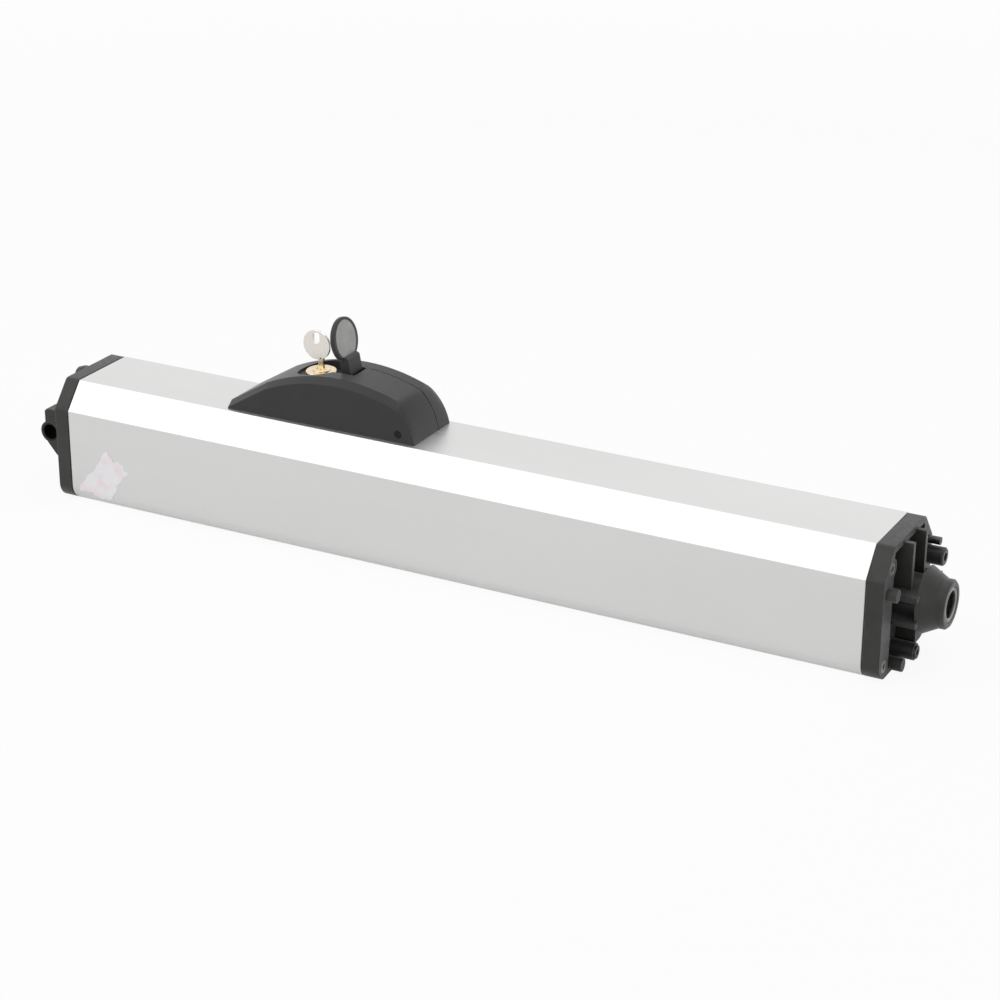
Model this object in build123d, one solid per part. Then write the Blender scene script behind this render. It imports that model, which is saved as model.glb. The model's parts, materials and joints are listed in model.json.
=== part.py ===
from build123d import *
import math
import os

# A hydraulic swing gate opener with its rod drawn in, in millimetres.
# X runs from the rear pivot to the rod end, Y across the body and Z up.
# The origin is the rear pivot axis, on the body's mid-plane.

# Body section
BODY_LENGTH = 690.0
BODY_WIDTH = 100.0
BODY_HEIGHT = 101.0
ROOF_WIDTH = 64.0
CHAMFER_DROP = 21.5
CORNER_RADIUS = 14.0
EDGE_RADIUS = 1.5
WALL = 3.5
PORT_RADIUS = 6.0
PORT_INSET = 9.0
PIVOT_SETBACK = 31.0

# Fits
RUNNING = 0.05
SEATED = 0.03
LOOSE = 0.3

# Flanges
GASKET = 1.0
GASKET_WIDTH = 4.0
REAR_PLATE = 12.0
FRONT_PLATE = 13.0
PLATE_RIM = 5.0
PLATE_EDGE = 5.0
POCKET_DEPTH = 7.5
RIB = 4.0
REAR_SPIGOT = 10.0
REAR_SPIGOT_WALL = 5.0
FRONT_SPIGOT = 14.0
SCREW_BOSS = 8.0

# Rear pivot ears
EAR_GAP = 18.0
EAR_THICKNESS = 26.0
EAR_TOP = 20.0
EAR_BOTTOM = -19.5
EAR_BACK = 4.5
EAR_CUT_HEIGHT = -8.0
EAR_CUT_START = 5.5
BARREL_RADIUS = 9.4
PIVOT_BORE = 6.5
BUSH_WALL = 1.4

# Cable gland on the rear flange
GLAND_Y = 8.0
GLAND_Z = 37.0
GLAND_THREAD = 6.0
GLAND_FLATS = 18.0
GLAND_HEX = 5.0
GLAND_BODY = 7.0
GLAND_BODY_LENGTH = 7.0
GLAND_NUT = 8.6
GLAND_NUT_LENGTH = 12.0
GLAND_BORE = 4.0
GLAND_SEAL = 2.5

# Flange screws
SCREW_RADIUS = 3.0
SCREW_HEAD = 5.0
SCREW_HEAD_HEIGHT = 6.0
SCREW_SOCKET = 5.0
SCREW_SOCKET_DEPTH = 3.0
SCREW_GRIP = 12.0

# Front hub and its bosses
HUB_REACH = 48.0
HUB_RADIUS = 18.5
HUB_LIP = 6.0
HUB_FLARE = 25.5
HUB_NECK = 18.0
HUB_SKIRT = 17.0
HUB_CHAMFER = 1.5
FIN_ROW = 10.0
FIN_REACH = 27.5
WEB_ROW = 13.0
WEB_RISE = 8.0
POCKET_HALF_WIDTH = 31.0
FILLER_INSET = 9.0
FILLER_Z = 17.0
FILLER_RADIUS = 7.0
FILLER_LENGTH = 14.0
FILLER_SOCKET = 6.0
FILLER_SOCKET_DEPTH = 6.0
VENT_OUTWARD = 6.4
VENT_DROP = 5.0
VENT_RADIUS = 3.0
VENT_LENGTH = 10.0
VENT_THREAD = 2.0
DRAIN_Y = -4.0
DRAIN_Z = -41.0
DRAIN_BOSS = 6.5
DRAIN_BOSS_LENGTH = 11.0
DRAIN_RADIUS = 5.0
DRAIN_HEAD = 1.5
DRAIN_SOCKET = 4.0
DRAIN_SOCKET_DEPTH = 1.0
DRAIN_THREAD = 4.0
FOOT_Y = -21.0
FOOT_Z = -45.2
FOOT_RADIUS = 5.0
FOOT_LENGTH = 8.0
LUG_INSET = 8.0
LUG_Z = 18.0
LUG_RADIUS = 5.0
LUG_LENGTH = 8.0

# Cylinder, rod and piston
TUBE_BORE = 21.0
TUBE_WALL = 4.0
TUBE_SEAT = 8.0
CHAMBER_LIP = 4.0
CHAMBER_LIP_RADIUS = 12.0
O_RING = 2.0
O_RING_WIDTH = 2.4
ROD_RADIUS = 10.0
ROD_TIP_SETBACK = 8.0
ROD_CHAMFER = 1.2
ROD_THREAD = 5.1
ROD_THREAD_DEPTH = 25.0
ROD_TAIL = 7.0
PISTON_LENGTH = 24.0
PISTON_CLEARANCE = 0.07
PISTON_GROOVE = 17.5
PISTON_RING_WIDTH = 5.0
PISTON_RING_EDGE = 4.0
PISTON_NUT_FLATS = 19.0
PISTON_NUT_LENGTH = 8.0
PISTON_PARK = 6.0
HUB_BORE = 13.5
BUSH_LENGTH = 22.0
ROD_SEAL_LENGTH = 7.0
WIPER_LENGTH = 5.0
WIPER_LIP = 1.5
SNAP_RING = 1.5
SNAP_GROOVE = 1.0
SNAP_INNER = 11.5
TIE_ROD_RADIUS = 4.0
TIE_ROD_Y = 27.0
TIE_ROD_FROM_ROOF = 30.5
TIE_ROD_DEPTH = 12.0
TIE_NUT_FLATS = 13.0
TIE_NUT_LENGTH = 6.5
PIPE_RADIUS = 4.0
PIPE_BORE = 2.5
PIPE_Y = 33.0
PIPE_Z = -10.0
PIPE_SOCKET = 8.0
PASSAGE = 1.5

# Valve block
LOCK_FROM_REAR = 213.0
BLOCK_AHEAD = 39.0
BLOCK_LENGTH = 84.0
BLOCK_HALF_WIDTH = 38.0
BLOCK_ROOF_GAP = 14.5
BLOCK_BOTTOM = -37.0
BLOCK_CHAMFER = 16.0
TURRET_RADIUS = 14.0
NEEDLE_RADIUS = 3.8
NEEDLE_TIP = 1.8
NEEDLE_TIP_LENGTH = 4.0
NEEDLE_SEAT_Z = 4.0
NEEDLE_SEAT_GAP = 0.1
NEEDLE_SHANK = 2.8
NEEDLE_SPINDLE_GAP = 6.0
NEEDLE_SHANK_LENGTH = 13.0
SPINDLE_RADIUS = 6.0
SPINDLE_DROP = 14.5
SPINDLE_SOCKET_DEPTH = 10.0
SPINDLE_SEAL = 1.9
SPINDLE_SEAL_LENGTH = 2.6
SPINDLE_SEAL_RISE = 4.0
BYPASS_OFFSET = 26.0
BYPASS_RADIUS = 4.0
BYPASS_BOSS = 7.5
BYPASS_BOSS_GAP = 7.5
BYPASS_BOTTOM = 20.0
BYPASS_RISE = 5.0
BYPASS_SLOT = 1.2
BYPASS_SLOT_DEPTH = 1.5
VALVE_SEAT_Z = 2.0
VALVE_SEAT_RADIUS = 1.5
VALVE_BALL = 3.0
SPRING_WIRE = 0.5
SPRING_RADIUS = 2.6
CHECK_OFFSET = 19.0
CHECK_Z = -5.0
CHECK_DEPTH = 24.0
CHECK_PLUG_LENGTH = 8.0
CHECK_PLUG_SOCKET = 4.0
STRAINER_RADIUS = 14.0
STRAINER_FLOOR_GAP = 3.0
STRAINER_NECK = 5.0
STRAINER_NECK_LENGTH = 6.0

# Gear pump
GEAR_TEETH = 12
GEAR_MODULE = 1.5
GEAR_ADDENDUM = 1.2
GEAR_DEDENDUM = 1.8
GEAR_BACKLASH = 0.3
GEAR_CLEARANCE = 0.1
PRESSURE_ANGLE = math.radians(20)
PUMP_BODY = 13.0
PUMP_COVER = 10.0
PUMP_HALF_WIDTH = 18.0
PUMP_TOP = 18.0
PUMP_BOTTOM = -35.5
PUMP_SHAFT = 5.0
IDLER_SHAFT = 4.0
SHAFT_DEPTH = 10.0
PUMP_BOLT_Y = 14.0
PUMP_BOLT_TOP = 13.0
PUMP_BOLT_BOTTOM = -30.5
PUMP_BOLT_RADIUS = 2.5
PUMP_BOLT_HEAD = 4.2
PUMP_BOLT_HEAD_HEIGHT = 5.0
PUMP_BOLT_GRIP = 12.0

# Motor
MOTOR_GAP = 20.0
MOTOR_RADIUS = 38.0
MOTOR_SHELL = 2.0
SHIELD = 10.0
END_TURN = 12.0
END_TURN_GAP = 2.0
CORE_LENGTH = 50.0
CORE_BORE = 20.0
SLOT_COUNT = 12
SLOT_WIDTH = 5.0
SLOT_INNER = 21.5
SLOT_OUTER = 28.0
ROTOR_GAP = 0.5
MOTOR_SHAFT = 6.0
BEARING_OUTER = 14.0
BEARING_LENGTH = 8.0
BEARING_RACE = 2.4
BALL_COUNT = 9
BALL_RADIUS = 1.9
BOLT_CIRCLE = 33.0
MOTOR_BOLT_RADIUS = 2.5
MOTOR_BOLT_HEAD = 4.2
MOTOR_BOLT_HEAD_HEIGHT = 4.0
MOTOR_BOLT_GRIP = 12.0
LEG_RADIUS = 4.6
COUPLING_RADIUS = 10.0
COUPLING_LENGTH = 14.0
SHAFT_PARTING = 1.0

# Release cover
COVER_START_FROM_REAR = 142.0
COVER_END_FROM_REAR = 312.5
COVER_HALF_WIDTH = 28.0
COVER_TOP_HALF_WIDTH = 22.0
COVER_BEVEL = 4.5
COVER_CROWN = 40.5
COVER_TIP = 5.5
COVER_BROW = 26.0
COVER_BROW_RUN = 34.0
COVER_CROWN_RUN = 107.0
COVER_NOSE = 30.5
COVER_NOSE_RUN = 15.5
COVER_WALL = 3.0
WELL_RADIUS = 19.0
WELL_FLOOR = 31.0
WELL_WALL = 2.5
GROOVE_Y = 10.0
GROOVE_WIDTH = 0.8
GROOVE_DEPTH = 0.7
COVER_PLATE = 3.0
COVER_PLATE_GAP = 1.0
COVER_LUG_FROM_END = 14.5
COVER_LUG_HEIGHT = 12.0
COVER_LUG_LENGTH = 9.0
COVER_LUG_DEPTH = 5.0
SIDE_SCREW_Z = 7.0
SIDE_SCREW_RADIUS = 1.6
SIDE_SCREW_HEAD = 3.0
SIDE_SCREW_HEAD_HEIGHT = 1.8
SIDE_SCREW_LENGTH = 6.0
PLATE_SCREW_RADIUS = 2.0
PLATE_SCREW_HEAD = 3.6
PLATE_SCREW_HEAD_HEIGHT = 2.2
PLATE_SCREW_Y = 15.0
PLATE_SCREW_INSET = 28.0

# Lock, key and lid
LOCK_FACE = 36.0
BEZEL_RADIUS = 12.5
LOCK_BODY_RADIUS = 10.5
LOCK_BODY_LENGTH = 20.0
LOCK_NUT_FLATS = 25.0
LOCK_NUT_LENGTH = 4.0
PLUG_RADIUS = 7.0
PLUG_PROUD = 0.8
PLUG_LENGTH = 21.0
PLUG_TAIL = 5.0
PLUG_TAIL_LENGTH = 8.0
KEYWAY_WIDTH = 9.0
KEY_THICKNESS = 2.2
KEY_CLEARANCE = 0.1
KEY_BLADE = 8.4
KEY_BLADE_LENGTH = 15.0
KEY_NECK = 5.0
KEY_BOW_RADIUS = 12.2
KEY_BOW_RISE = 20.5
KEY_BOW_OFFSET = -3.6
KEY_HOLE_WIDTH = 5.5
KEY_HOLE_LENGTH = 9.0
KEY_HOLE_RISE = 6.0
LID_HINGE_AHEAD = 26.6
LID_HINGE_HEIGHT = 38.4
LID_RADIUS = 17.8
LID_REACH = 27.2
LID_THICKNESS = 3.6
LID_LEAN = 11.0
LID_TAB_HALF = 9.0
LID_TAB_HEIGHT = 14.5
LID_TAB_THICKNESS = 7.5
LID_BARREL = 3.4
LID_PIN = 1.5
LID_PIN_SEAT = 3.5
LID_INLAY_WIDTH = 28.0
LID_INLAY_HEIGHT = 31.0
LID_INLAY_DEPTH = 0.8
LID_SLOT_GAP = 0.8
LID_SLOT_BEHIND = 10.0
LID_SLOT_AHEAD = 9.0
LID_CHEEK = 4.5

# Stations along X and levels along Z that the sizes above fix
half_width = BODY_WIDTH / 2
half_height = BODY_HEIGHT / 2
roof = half_height
filler_y = half_width - FILLER_INSET
lug_y = LUG_INSET - half_width
tie_rod_z = half_height - TIE_ROD_FROM_ROOF
block_top = roof - BLOCK_ROOF_GAP
bypass_boss_top = roof - BYPASS_BOSS_GAP
spindle_bottom = roof - SPINDLE_DROP
needle_end = spindle_bottom - NEEDLE_SPINDLE_GAP
strainer_bottom = WALL + STRAINER_FLOOR_GAP - half_height
body_start = PIVOT_SETBACK
body_end = body_start + BODY_LENGTH
rear_inner = body_start - GASKET
rear_outer = rear_inner - REAR_PLATE
front_inner = body_end + GASKET
front_outer = front_inner + FRONT_PLATE
front_floor = front_outer - POCKET_DEPTH
skirt_x = front_outer + HUB_SKIRT
spigot_start = front_inner - FRONT_SPIGOT
hub_end = body_end + HUB_REACH
lock_x = body_start + LOCK_FROM_REAR
block_front = lock_x + BLOCK_AHEAD
block_rear = block_front - BLOCK_LENGTH
pump_rear = block_rear - PUMP_BODY
cover_rear = pump_rear - PUMP_COVER
shield_front = cover_rear - MOTOR_GAP
shield_back = shield_front - SHIELD
core_front = shield_back - END_TURN - END_TURN_GAP
core_rear = core_front - CORE_LENGTH
rear_shield_front = core_rear - END_TURN - END_TURN_GAP
rear_shield_back = rear_shield_front - SHIELD
tube_start = block_front - TUBE_SEAT
tube_end = front_inner - CHAMBER_LIP
tube_outer = TUBE_BORE + TUBE_WALL
nut_start = tube_start + PISTON_PARK
piston_start = nut_start + PISTON_NUT_LENGTH
piston_end = piston_start + PISTON_LENGTH
rod_tip = hub_end - ROD_TIP_SETBACK
pitch_radius = GEAR_TEETH * GEAR_MODULE / 2
gear_spacing = 2 * pitch_radius
bush_outer = PIVOT_BORE + BUSH_WALL
lock_face_z = roof + LOCK_FACE
well_floor_z = roof + WELL_FLOOR
plate_top = roof + COVER_PLATE
hinge_x = lock_x + LID_HINGE_AHEAD
hinge_z = roof + LID_HINGE_HEIGHT
cover_start = body_start + COVER_START_FROM_REAR
cover_end = body_start + COVER_END_FROM_REAR
roof_inner = roof - WALL
LOW = (Align.CENTER, Align.CENTER, Align.MIN)


def rod_x(start, end, radius, y=0.0, z=0.0):
    return Pos(start, y, z) * Rot(0, 90, 0) * Cylinder(radius, end - start, align=LOW)


def rod_y(start, end, radius, x=0.0, z=0.0):
    return Pos(x, start, z) * Rot(-90, 0, 0) * Cylinder(radius, end - start, align=LOW)


def rod_z(start, end, radius, x=0.0, y=0.0):
    return Pos(x, y, start) * Cylinder(radius, end - start, align=LOW)


def cone_x(start, end, start_radius, end_radius, y=0.0, z=0.0):
    cone = Cone(start_radius, end_radius, end - start, align=LOW)
    return Pos(start, y, z) * Rot(0, 90, 0) * cone


def ring_x(start, end, outer, inner, y=0.0, z=0.0):
    return rod_x(start, end, outer, y, z) - rod_x(start, end, inner, y, z)


def hex_x(start, end, flats, y=0.0, z=0.0):
    outline = RegularPolygon(flats / 2, 6, major_radius=False)
    return Pos(start, y, z) * Rot(0, 90, 0) * extrude(outline, end - start)


def hex_z(start, end, flats, x=0.0, y=0.0):
    outline = RegularPolygon(flats / 2, 6, major_radius=False)
    return Pos(x, y, start) * extrude(outline, end - start)


def block(x_low, x_high, y_low, y_high, z_low, z_high):
    middle = Pos((x_low + x_high) / 2, (y_low + y_high) / 2, (z_low + z_high) / 2)
    return middle * Box(x_high - x_low, y_high - y_low, z_high - z_low)


def drilling(start, end, radius):
    run = Vector(*end) - Vector(*start)
    return Plane(origin=start, z_dir=run) * Cylinder(radius, run.length, align=LOW)


def group(pieces):
    """Separate solids that share one node."""
    return Compound(children=pieces)


def both_sides(piece):
    return [piece, mirror(piece, about=Plane.XZ)]


# The body's section: a flat roof, two chamfers, upright sides and round lower corners


def chamfer_normal():
    across = half_width - ROOF_WIDTH / 2
    length = math.hypot(across, CHAMFER_DROP)
    return CHAMFER_DROP / length, across / length


def section(inset=0.0, edge=EDGE_RADIUS):
    normal_y, normal_z = chamfer_normal()
    side = half_width - inset
    top = half_height - inset
    reach = normal_y * ROOF_WIDTH / 2 + normal_z * half_height - inset
    roof_edge = (reach - normal_z * top) / normal_y
    shoulder = (reach - normal_y * side) / normal_z
    right = [(roof_edge, top), (side, shoulder), (side, -top)]
    left = [(-y, z) for y, z in reversed(right)]
    face = make_face(Plane.YZ * Polyline(*right, *left, close=True))
    corners = face.vertices().sort_by(Axis.Z)
    face = fillet(corners[:2], max(CORNER_RADIUS - inset, 1.0))
    return fillet(face.vertices().sort_by(Axis.Z)[-4:], edge)


def prism(start, end, inset=0.0, edge=EDGE_RADIUS):
    return Pos(start, 0, 0) * extrude(section(inset, edge), end - start, dir=(1, 0, 0))


def screw_places():
    normal_y, normal_z = chamfer_normal()
    upper_y = (half_width + ROOF_WIDTH / 2) / 2 - normal_y * PORT_INSET
    upper_z = half_height - CHAMFER_DROP / 2 - normal_z * PORT_INSET
    reach = (CORNER_RADIUS - PORT_INSET) / math.sqrt(2)
    lower_y = half_width - CORNER_RADIUS + reach
    lower_z = -half_height + CORNER_RADIUS - reach
    right = [(upper_y, upper_z), (lower_y, lower_z)]
    return right + [(-y, z) for y, z in right]


def plate_screw_places():
    first = cover_start + PLATE_SCREW_INSET
    last = cover_end - PLATE_SCREW_INSET
    return [(x, y) for x in (first, last) for y in (-PLATE_SCREW_Y, PLATE_SCREW_Y)]


def bypass_places():
    return [lock_x - BYPASS_OFFSET, lock_x + BYPASS_OFFSET]


def tie_rod_places():
    return [(y, z) for y in (-TIE_ROD_Y, TIE_ROD_Y) for z in (-tie_rod_z, tie_rod_z)]


def pump_bolt_places():
    levels = (PUMP_BOLT_BOTTOM, PUMP_BOLT_TOP)
    return [(y, z) for y in (-PUMP_BOLT_Y, PUMP_BOLT_Y) for z in levels]


def oil_tank_profile():
    outer = prism(body_start, body_end)
    body = outer - prism(body_start, body_end, WALL)
    for y, z in screw_places():
        body = body + (rod_x(body_start, body_end, PORT_RADIUS, y, z) & outer)
    for y, z in screw_places():
        body = body - rod_x(body_start, body_end, SCREW_RADIUS + SEATED, y, z)
    body = body - rod_z(roof_inner, roof, SPINDLE_RADIUS + LOOSE, lock_x)
    for x in bypass_places():
        body = body - rod_z(roof_inner, roof, BYPASS_RADIUS + LOOSE, x)
    for x, y in plate_screw_places():
        body = body - rod_z(roof_inner, roof, PLATE_SCREW_RADIUS + SEATED, x, y)
    return body


def gaskets():
    pieces = []
    for start in (rear_inner, body_end):
        ring = prism(start, start + GASKET, LOOSE)
        ring = ring - prism(start, start + GASKET, GASKET_WIDTH)
        for y, z in screw_places():
            pad = rod_x(start, start + GASKET, PORT_RADIUS, y, z)
            ring = ring + (pad & prism(start, start + GASKET, LOOSE))
        for y, z in screw_places():
            ring = ring - rod_x(start, start + GASKET, SCREW_RADIUS + LOOSE, y, z)
        pieces.append(ring)
    return group(pieces)


def spigot(start, end):
    """The part of a flange that slides into the body, clear of its screw ports."""
    plug = prism(start, end, GASKET_WIDTH + LOOSE)
    for y, z in screw_places():
        plug = plug - rod_x(start, end, PORT_RADIUS + LOOSE, y, z)
    return plug


def screw_hole(plate, seat, mouth):
    """Cuts each corner's clearance hole from seat and its counterbore to mouth."""
    low, high = min(seat, mouth), max(seat, mouth)
    for y, z in screw_places():
        plate = plate - rod_x(rear_outer - 1, rear_inner + 1, SCREW_RADIUS + LOOSE, y, z)
        plate = plate - rod_x(front_inner - 1, front_outer + 1, SCREW_RADIUS + LOOSE, y, z)
        plate = plate - rod_x(low, high, SCREW_HEAD + LOOSE, y, z)
    return plate


def rear_flange():
    plate = prism(rear_outer, rear_inner, 0, PLATE_EDGE)
    pocket = prism(rear_outer, rear_outer + POCKET_DEPTH / 2, PLATE_RIM)
    ear_reach = EAR_GAP / 2 + EAR_THICKNESS
    pad = block(rear_outer, rear_inner, -ear_reach, ear_reach, EAR_BOTTOM, EAR_TOP)
    pocket = pocket - pad
    pocket = pocket - rod_x(rear_outer, rear_inner, GLAND_FLATS / 2 + RIB, GLAND_Y, GLAND_Z)
    for y, z in screw_places():
        pocket = pocket - rod_x(rear_outer, rear_inner, SCREW_BOSS, y, z)
    for y in (-ear_reach / 2, ear_reach / 2):
        pocket = pocket - block(rear_outer, rear_inner, y - RIB / 2, y + RIB / 2,
                                -half_height, half_height)
    plate = plate - pocket
    ring = spigot(rear_inner, rear_inner + REAR_SPIGOT)
    ring = ring - prism(rear_inner, rear_inner + REAR_SPIGOT, GASKET_WIDTH + REAR_SPIGOT_WALL)
    flange = plate + ring
    for ear in both_sides(pivot_ear()):
        flange = flange + ear
    flange = flange - rod_y(-ear_reach, ear_reach, bush_outer + SEATED)
    flange = flange - rod_x(rear_outer, rear_inner, GLAND_THREAD + SEATED, GLAND_Y, GLAND_Z)
    return screw_hole(flange, rear_outer + SCREW_HEAD_HEIGHT, rear_outer)


def pivot_ear():
    near = EAR_GAP / 2
    outline = Polyline(
        (rear_outer, EAR_TOP),
        (-EAR_BACK, EAR_TOP),
        (-EAR_BACK, EAR_CUT_HEIGHT),
        (EAR_CUT_START, EAR_BOTTOM),
        (rear_outer, EAR_BOTTOM),
        close=True,
    )
    face = make_face(Plane.XZ * outline)
    cheek = Pos(0, near, 0) * extrude(face, EAR_THICKNESS, dir=(0, 1, 0))
    cheek = chamfer(cheek.edges().filter_by(Axis.Y).group_by(Axis.X)[0], 2.0)
    return cheek + rod_y(near, near + EAR_THICKNESS, BARREL_RADIUS)


def pivot_bushes():
    near = EAR_GAP / 2
    far = near + EAR_THICKNESS
    bush = rod_y(near, far, bush_outer) - rod_y(near, far, PIVOT_BORE)
    return group(both_sides(bush))


def cap_screw(seat, facing):
    """A socket screw along X: its head stands on seat and faces along facing."""
    head_end = seat + facing * SCREW_HEAD_HEIGHT
    tip = seat - facing * (abs(seat_to_body(seat)) + SCREW_GRIP)
    socket_start = head_end - facing * SCREW_SOCKET_DEPTH
    head = rod_x(min(seat, head_end), max(seat, head_end), SCREW_HEAD)
    shank = rod_x(min(seat, tip), max(seat, tip), SCREW_RADIUS)
    low, high = sorted((socket_start, head_end))
    return head + shank - hex_x(low, high, SCREW_SOCKET)


def seat_to_body(seat):
    return seat - body_start if seat < lock_x else seat - body_end


def flange_screws():
    rear = cap_screw(rear_outer + SCREW_HEAD_HEIGHT, -1)
    front = cap_screw(front_outer - SCREW_HEAD_HEIGHT, 1)
    return group([Pos(0, y, z) * screw for screw in (rear, front) for y, z in screw_places()])


def gland_body():
    hex_start = rear_outer - GLAND_HEX
    body = hex_x(hex_start, rear_outer, GLAND_FLATS, GLAND_Y, GLAND_Z)
    body = body + rod_x(rear_outer, rear_inner, GLAND_THREAD, GLAND_Y, GLAND_Z)
    body = body + rod_x(hex_start - GLAND_BODY_LENGTH, hex_start, GLAND_BODY, GLAND_Y, GLAND_Z)
    return body - rod_x(hex_start - GLAND_BODY_LENGTH, rear_inner, GLAND_BORE, GLAND_Y, GLAND_Z)


def gland_nut():
    start = rear_outer - GLAND_HEX - GLAND_NUT_LENGTH
    dome = start + GLAND_NUT_LENGTH - GLAND_BODY_LENGTH
    seat = rear_outer - GLAND_HEX - GLAND_BODY_LENGTH
    nut = cone_x(start, dome, GLAND_BODY, GLAND_NUT, GLAND_Y, GLAND_Z)
    nut = nut + rod_x(dome, rear_outer - GLAND_HEX, GLAND_NUT, GLAND_Y, GLAND_Z)
    nut = nut - rod_x(seat - GLAND_SEAL, rear_outer, GLAND_BODY + RUNNING, GLAND_Y, GLAND_Z)
    return nut - rod_x(start, rear_outer, GLAND_BORE, GLAND_Y, GLAND_Z)


def gland_seal():
    end = rear_outer - GLAND_HEX - GLAND_BODY_LENGTH
    return ring_x(end - GLAND_SEAL, end, GLAND_BODY - RUNNING, GLAND_BORE, GLAND_Y, GLAND_Z)


def vent_place():
    screw_y, screw_z = screw_places()[0]
    return screw_y + VENT_OUTWARD, screw_z - VENT_DROP


def fin(y_low, y_high, z_low, z_high, end):
    """A straight rib that stands on the front plate's pocket floor and ends at end."""
    return block(front_floor, end, y_low, y_high, z_low, z_high)


def front_fins():
    """Pairs of short fins that carry the hub's skirt, and low webs to the plate's rim."""
    inside_rim = half_height - PLATE_RIM / 2
    web_end = front_outer + WEB_RISE
    pieces = []
    for z in (-FIN_ROW, FIN_ROW):
        pieces.append(fin(-FIN_REACH, FIN_REACH, z - RIB / 2, z + RIB / 2, skirt_x))
    for y in (-WEB_ROW, WEB_ROW):
        pieces.append(fin(y - RIB / 2, y + RIB / 2, 0, inside_rim, web_end))
    pieces.append(fin(RIB / 2, 3 * RIB / 2, -inside_rim, 0, web_end))
    return pieces


def hub():
    neck = rod_x(front_floor, skirt_x, HUB_NECK)
    skirt = cone_x(skirt_x - RIB / 2, hub_end - HUB_LIP, HUB_FLARE, HUB_RADIUS)
    lip = rod_x(hub_end - HUB_LIP, hub_end - HUB_CHAMFER, HUB_RADIUS)
    mouth = cone_x(hub_end - HUB_CHAMFER, hub_end, HUB_RADIUS, HUB_RADIUS - HUB_CHAMFER)
    return neck + skirt + lip + mouth


def front_flange():
    flange = prism(front_inner, front_outer, 0, PLATE_EDGE)
    pocket = prism(front_floor, front_outer, PLATE_RIM)
    pocket = pocket & block(front_floor, front_outer, -POCKET_HALF_WIDTH, POCKET_HALF_WIDTH,
                            -half_height, half_height)
    for y, z in screw_places():
        pocket = pocket - rod_x(front_floor, front_outer, SCREW_BOSS, y, z)
    flange = flange - pocket + hub()
    for piece in front_fins():
        flange = flange + piece
    flange = flange + rod_x(front_floor, front_outer + DRAIN_BOSS_LENGTH, DRAIN_BOSS, DRAIN_Y, DRAIN_Z)
    flange = flange + rod_x(front_floor, front_outer + FOOT_LENGTH, FOOT_RADIUS, FOOT_Y, FOOT_Z)
    flange = flange + rod_x(front_floor, front_outer + LUG_LENGTH, LUG_RADIUS, lug_y, LUG_Z)
    flange = flange + spigot(spigot_start, front_inner)
    return screw_hole(bore_front_flange(flange), front_outer - SCREW_HEAD_HEIGHT, front_outer)


def bore_front_flange(flange):
    flange = flange - rod_x(spigot_start, tube_end, tube_outer + SEATED)
    flange = flange - rod_x(tube_end, front_inner, CHAMBER_LIP_RADIUS)
    flange = flange - rod_x(front_inner, hub_end, HUB_BORE)
    flange = flange - ring_x(snap_start() - SEATED, snap_start() + SNAP_RING + SEATED,
                             HUB_BORE + SNAP_GROOVE, HUB_BORE - 1)
    flange = flange - o_ring_groove((spigot_start + tube_end) / 2)
    for y, z in tie_rod_places():
        flange = flange - rod_x(spigot_start, spigot_start + TIE_ROD_DEPTH,
                                TIE_ROD_RADIUS + SEATED, y, z)
    flange = flange - rod_x(spigot_start, spigot_start + PIPE_SOCKET, PIPE_RADIUS + SEATED,
                            PIPE_Y, PIPE_Z)
    passage = front_inner - CHAMBER_LIP / 2
    flange = flange - rod_x(spigot_start, passage + PASSAGE, PASSAGE, PIPE_Y, PIPE_Z)
    flange = flange - drilling((passage, PIPE_Y, PIPE_Z), (passage, 0, 0), PASSAGE)
    flange = flange - rod_x(spigot_start, front_outer, DRAIN_THREAD + SEATED, DRAIN_Y, DRAIN_Z)
    flange = flange - rod_x(front_outer, front_outer + DRAIN_BOSS_LENGTH,
                            DRAIN_THREAD + SEATED, DRAIN_Y, DRAIN_Z)
    flange = flange - rod_x(front_inner, front_outer, DRAIN_THREAD + SEATED, filler_y, FILLER_Z)
    vent_y, vent_z = vent_place()
    return flange - rod_x(front_inner, front_outer, VENT_THREAD + SEATED, vent_y, vent_z)


def o_ring_groove(middle):
    half = O_RING_WIDTH / 2 + RUNNING
    return ring_x(middle - half, middle + half, tube_outer + O_RING + RUNNING, tube_outer)


def o_rings():
    half = O_RING_WIDTH / 2
    pieces = []
    for middle in (block_front - TUBE_SEAT / 2, (spigot_start + tube_end) / 2):
        pieces.append(ring_x(middle - half, middle + half, tube_outer + O_RING,
                             tube_outer + RUNNING))
    bottom = spindle_bottom + SPINDLE_SEAL_RISE
    seal = rod_z(bottom, bottom + SPINDLE_SEAL_LENGTH, SPINDLE_RADIUS + SPINDLE_SEAL, lock_x)
    seal = seal - rod_z(bottom, bottom + SPINDLE_SEAL_LENGTH, SPINDLE_RADIUS + RUNNING, lock_x)
    pieces.append(seal)
    return group(pieces)


def filler_plug():
    neck = front_outer + FILLER_LENGTH - FILLER_SOCKET_DEPTH
    plug = rod_x(front_outer, front_outer + FILLER_LENGTH, FILLER_RADIUS)
    plug = chamfer(plug.edges().group_by(Axis.X)[-1], 1.0)
    plug = plug + rod_x(front_inner, front_outer, DRAIN_THREAD)
    plug = plug - hex_x(neck, front_outer + FILLER_LENGTH, FILLER_SOCKET)
    return Pos(0, filler_y, FILLER_Z) * plug


def vent_screw():
    plug = rod_x(front_outer, front_outer + VENT_LENGTH, VENT_RADIUS)
    plug = plug + rod_x(front_inner, front_outer, VENT_THREAD)
    vent_y, vent_z = vent_place()
    return Pos(0, vent_y, vent_z) * plug


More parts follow.
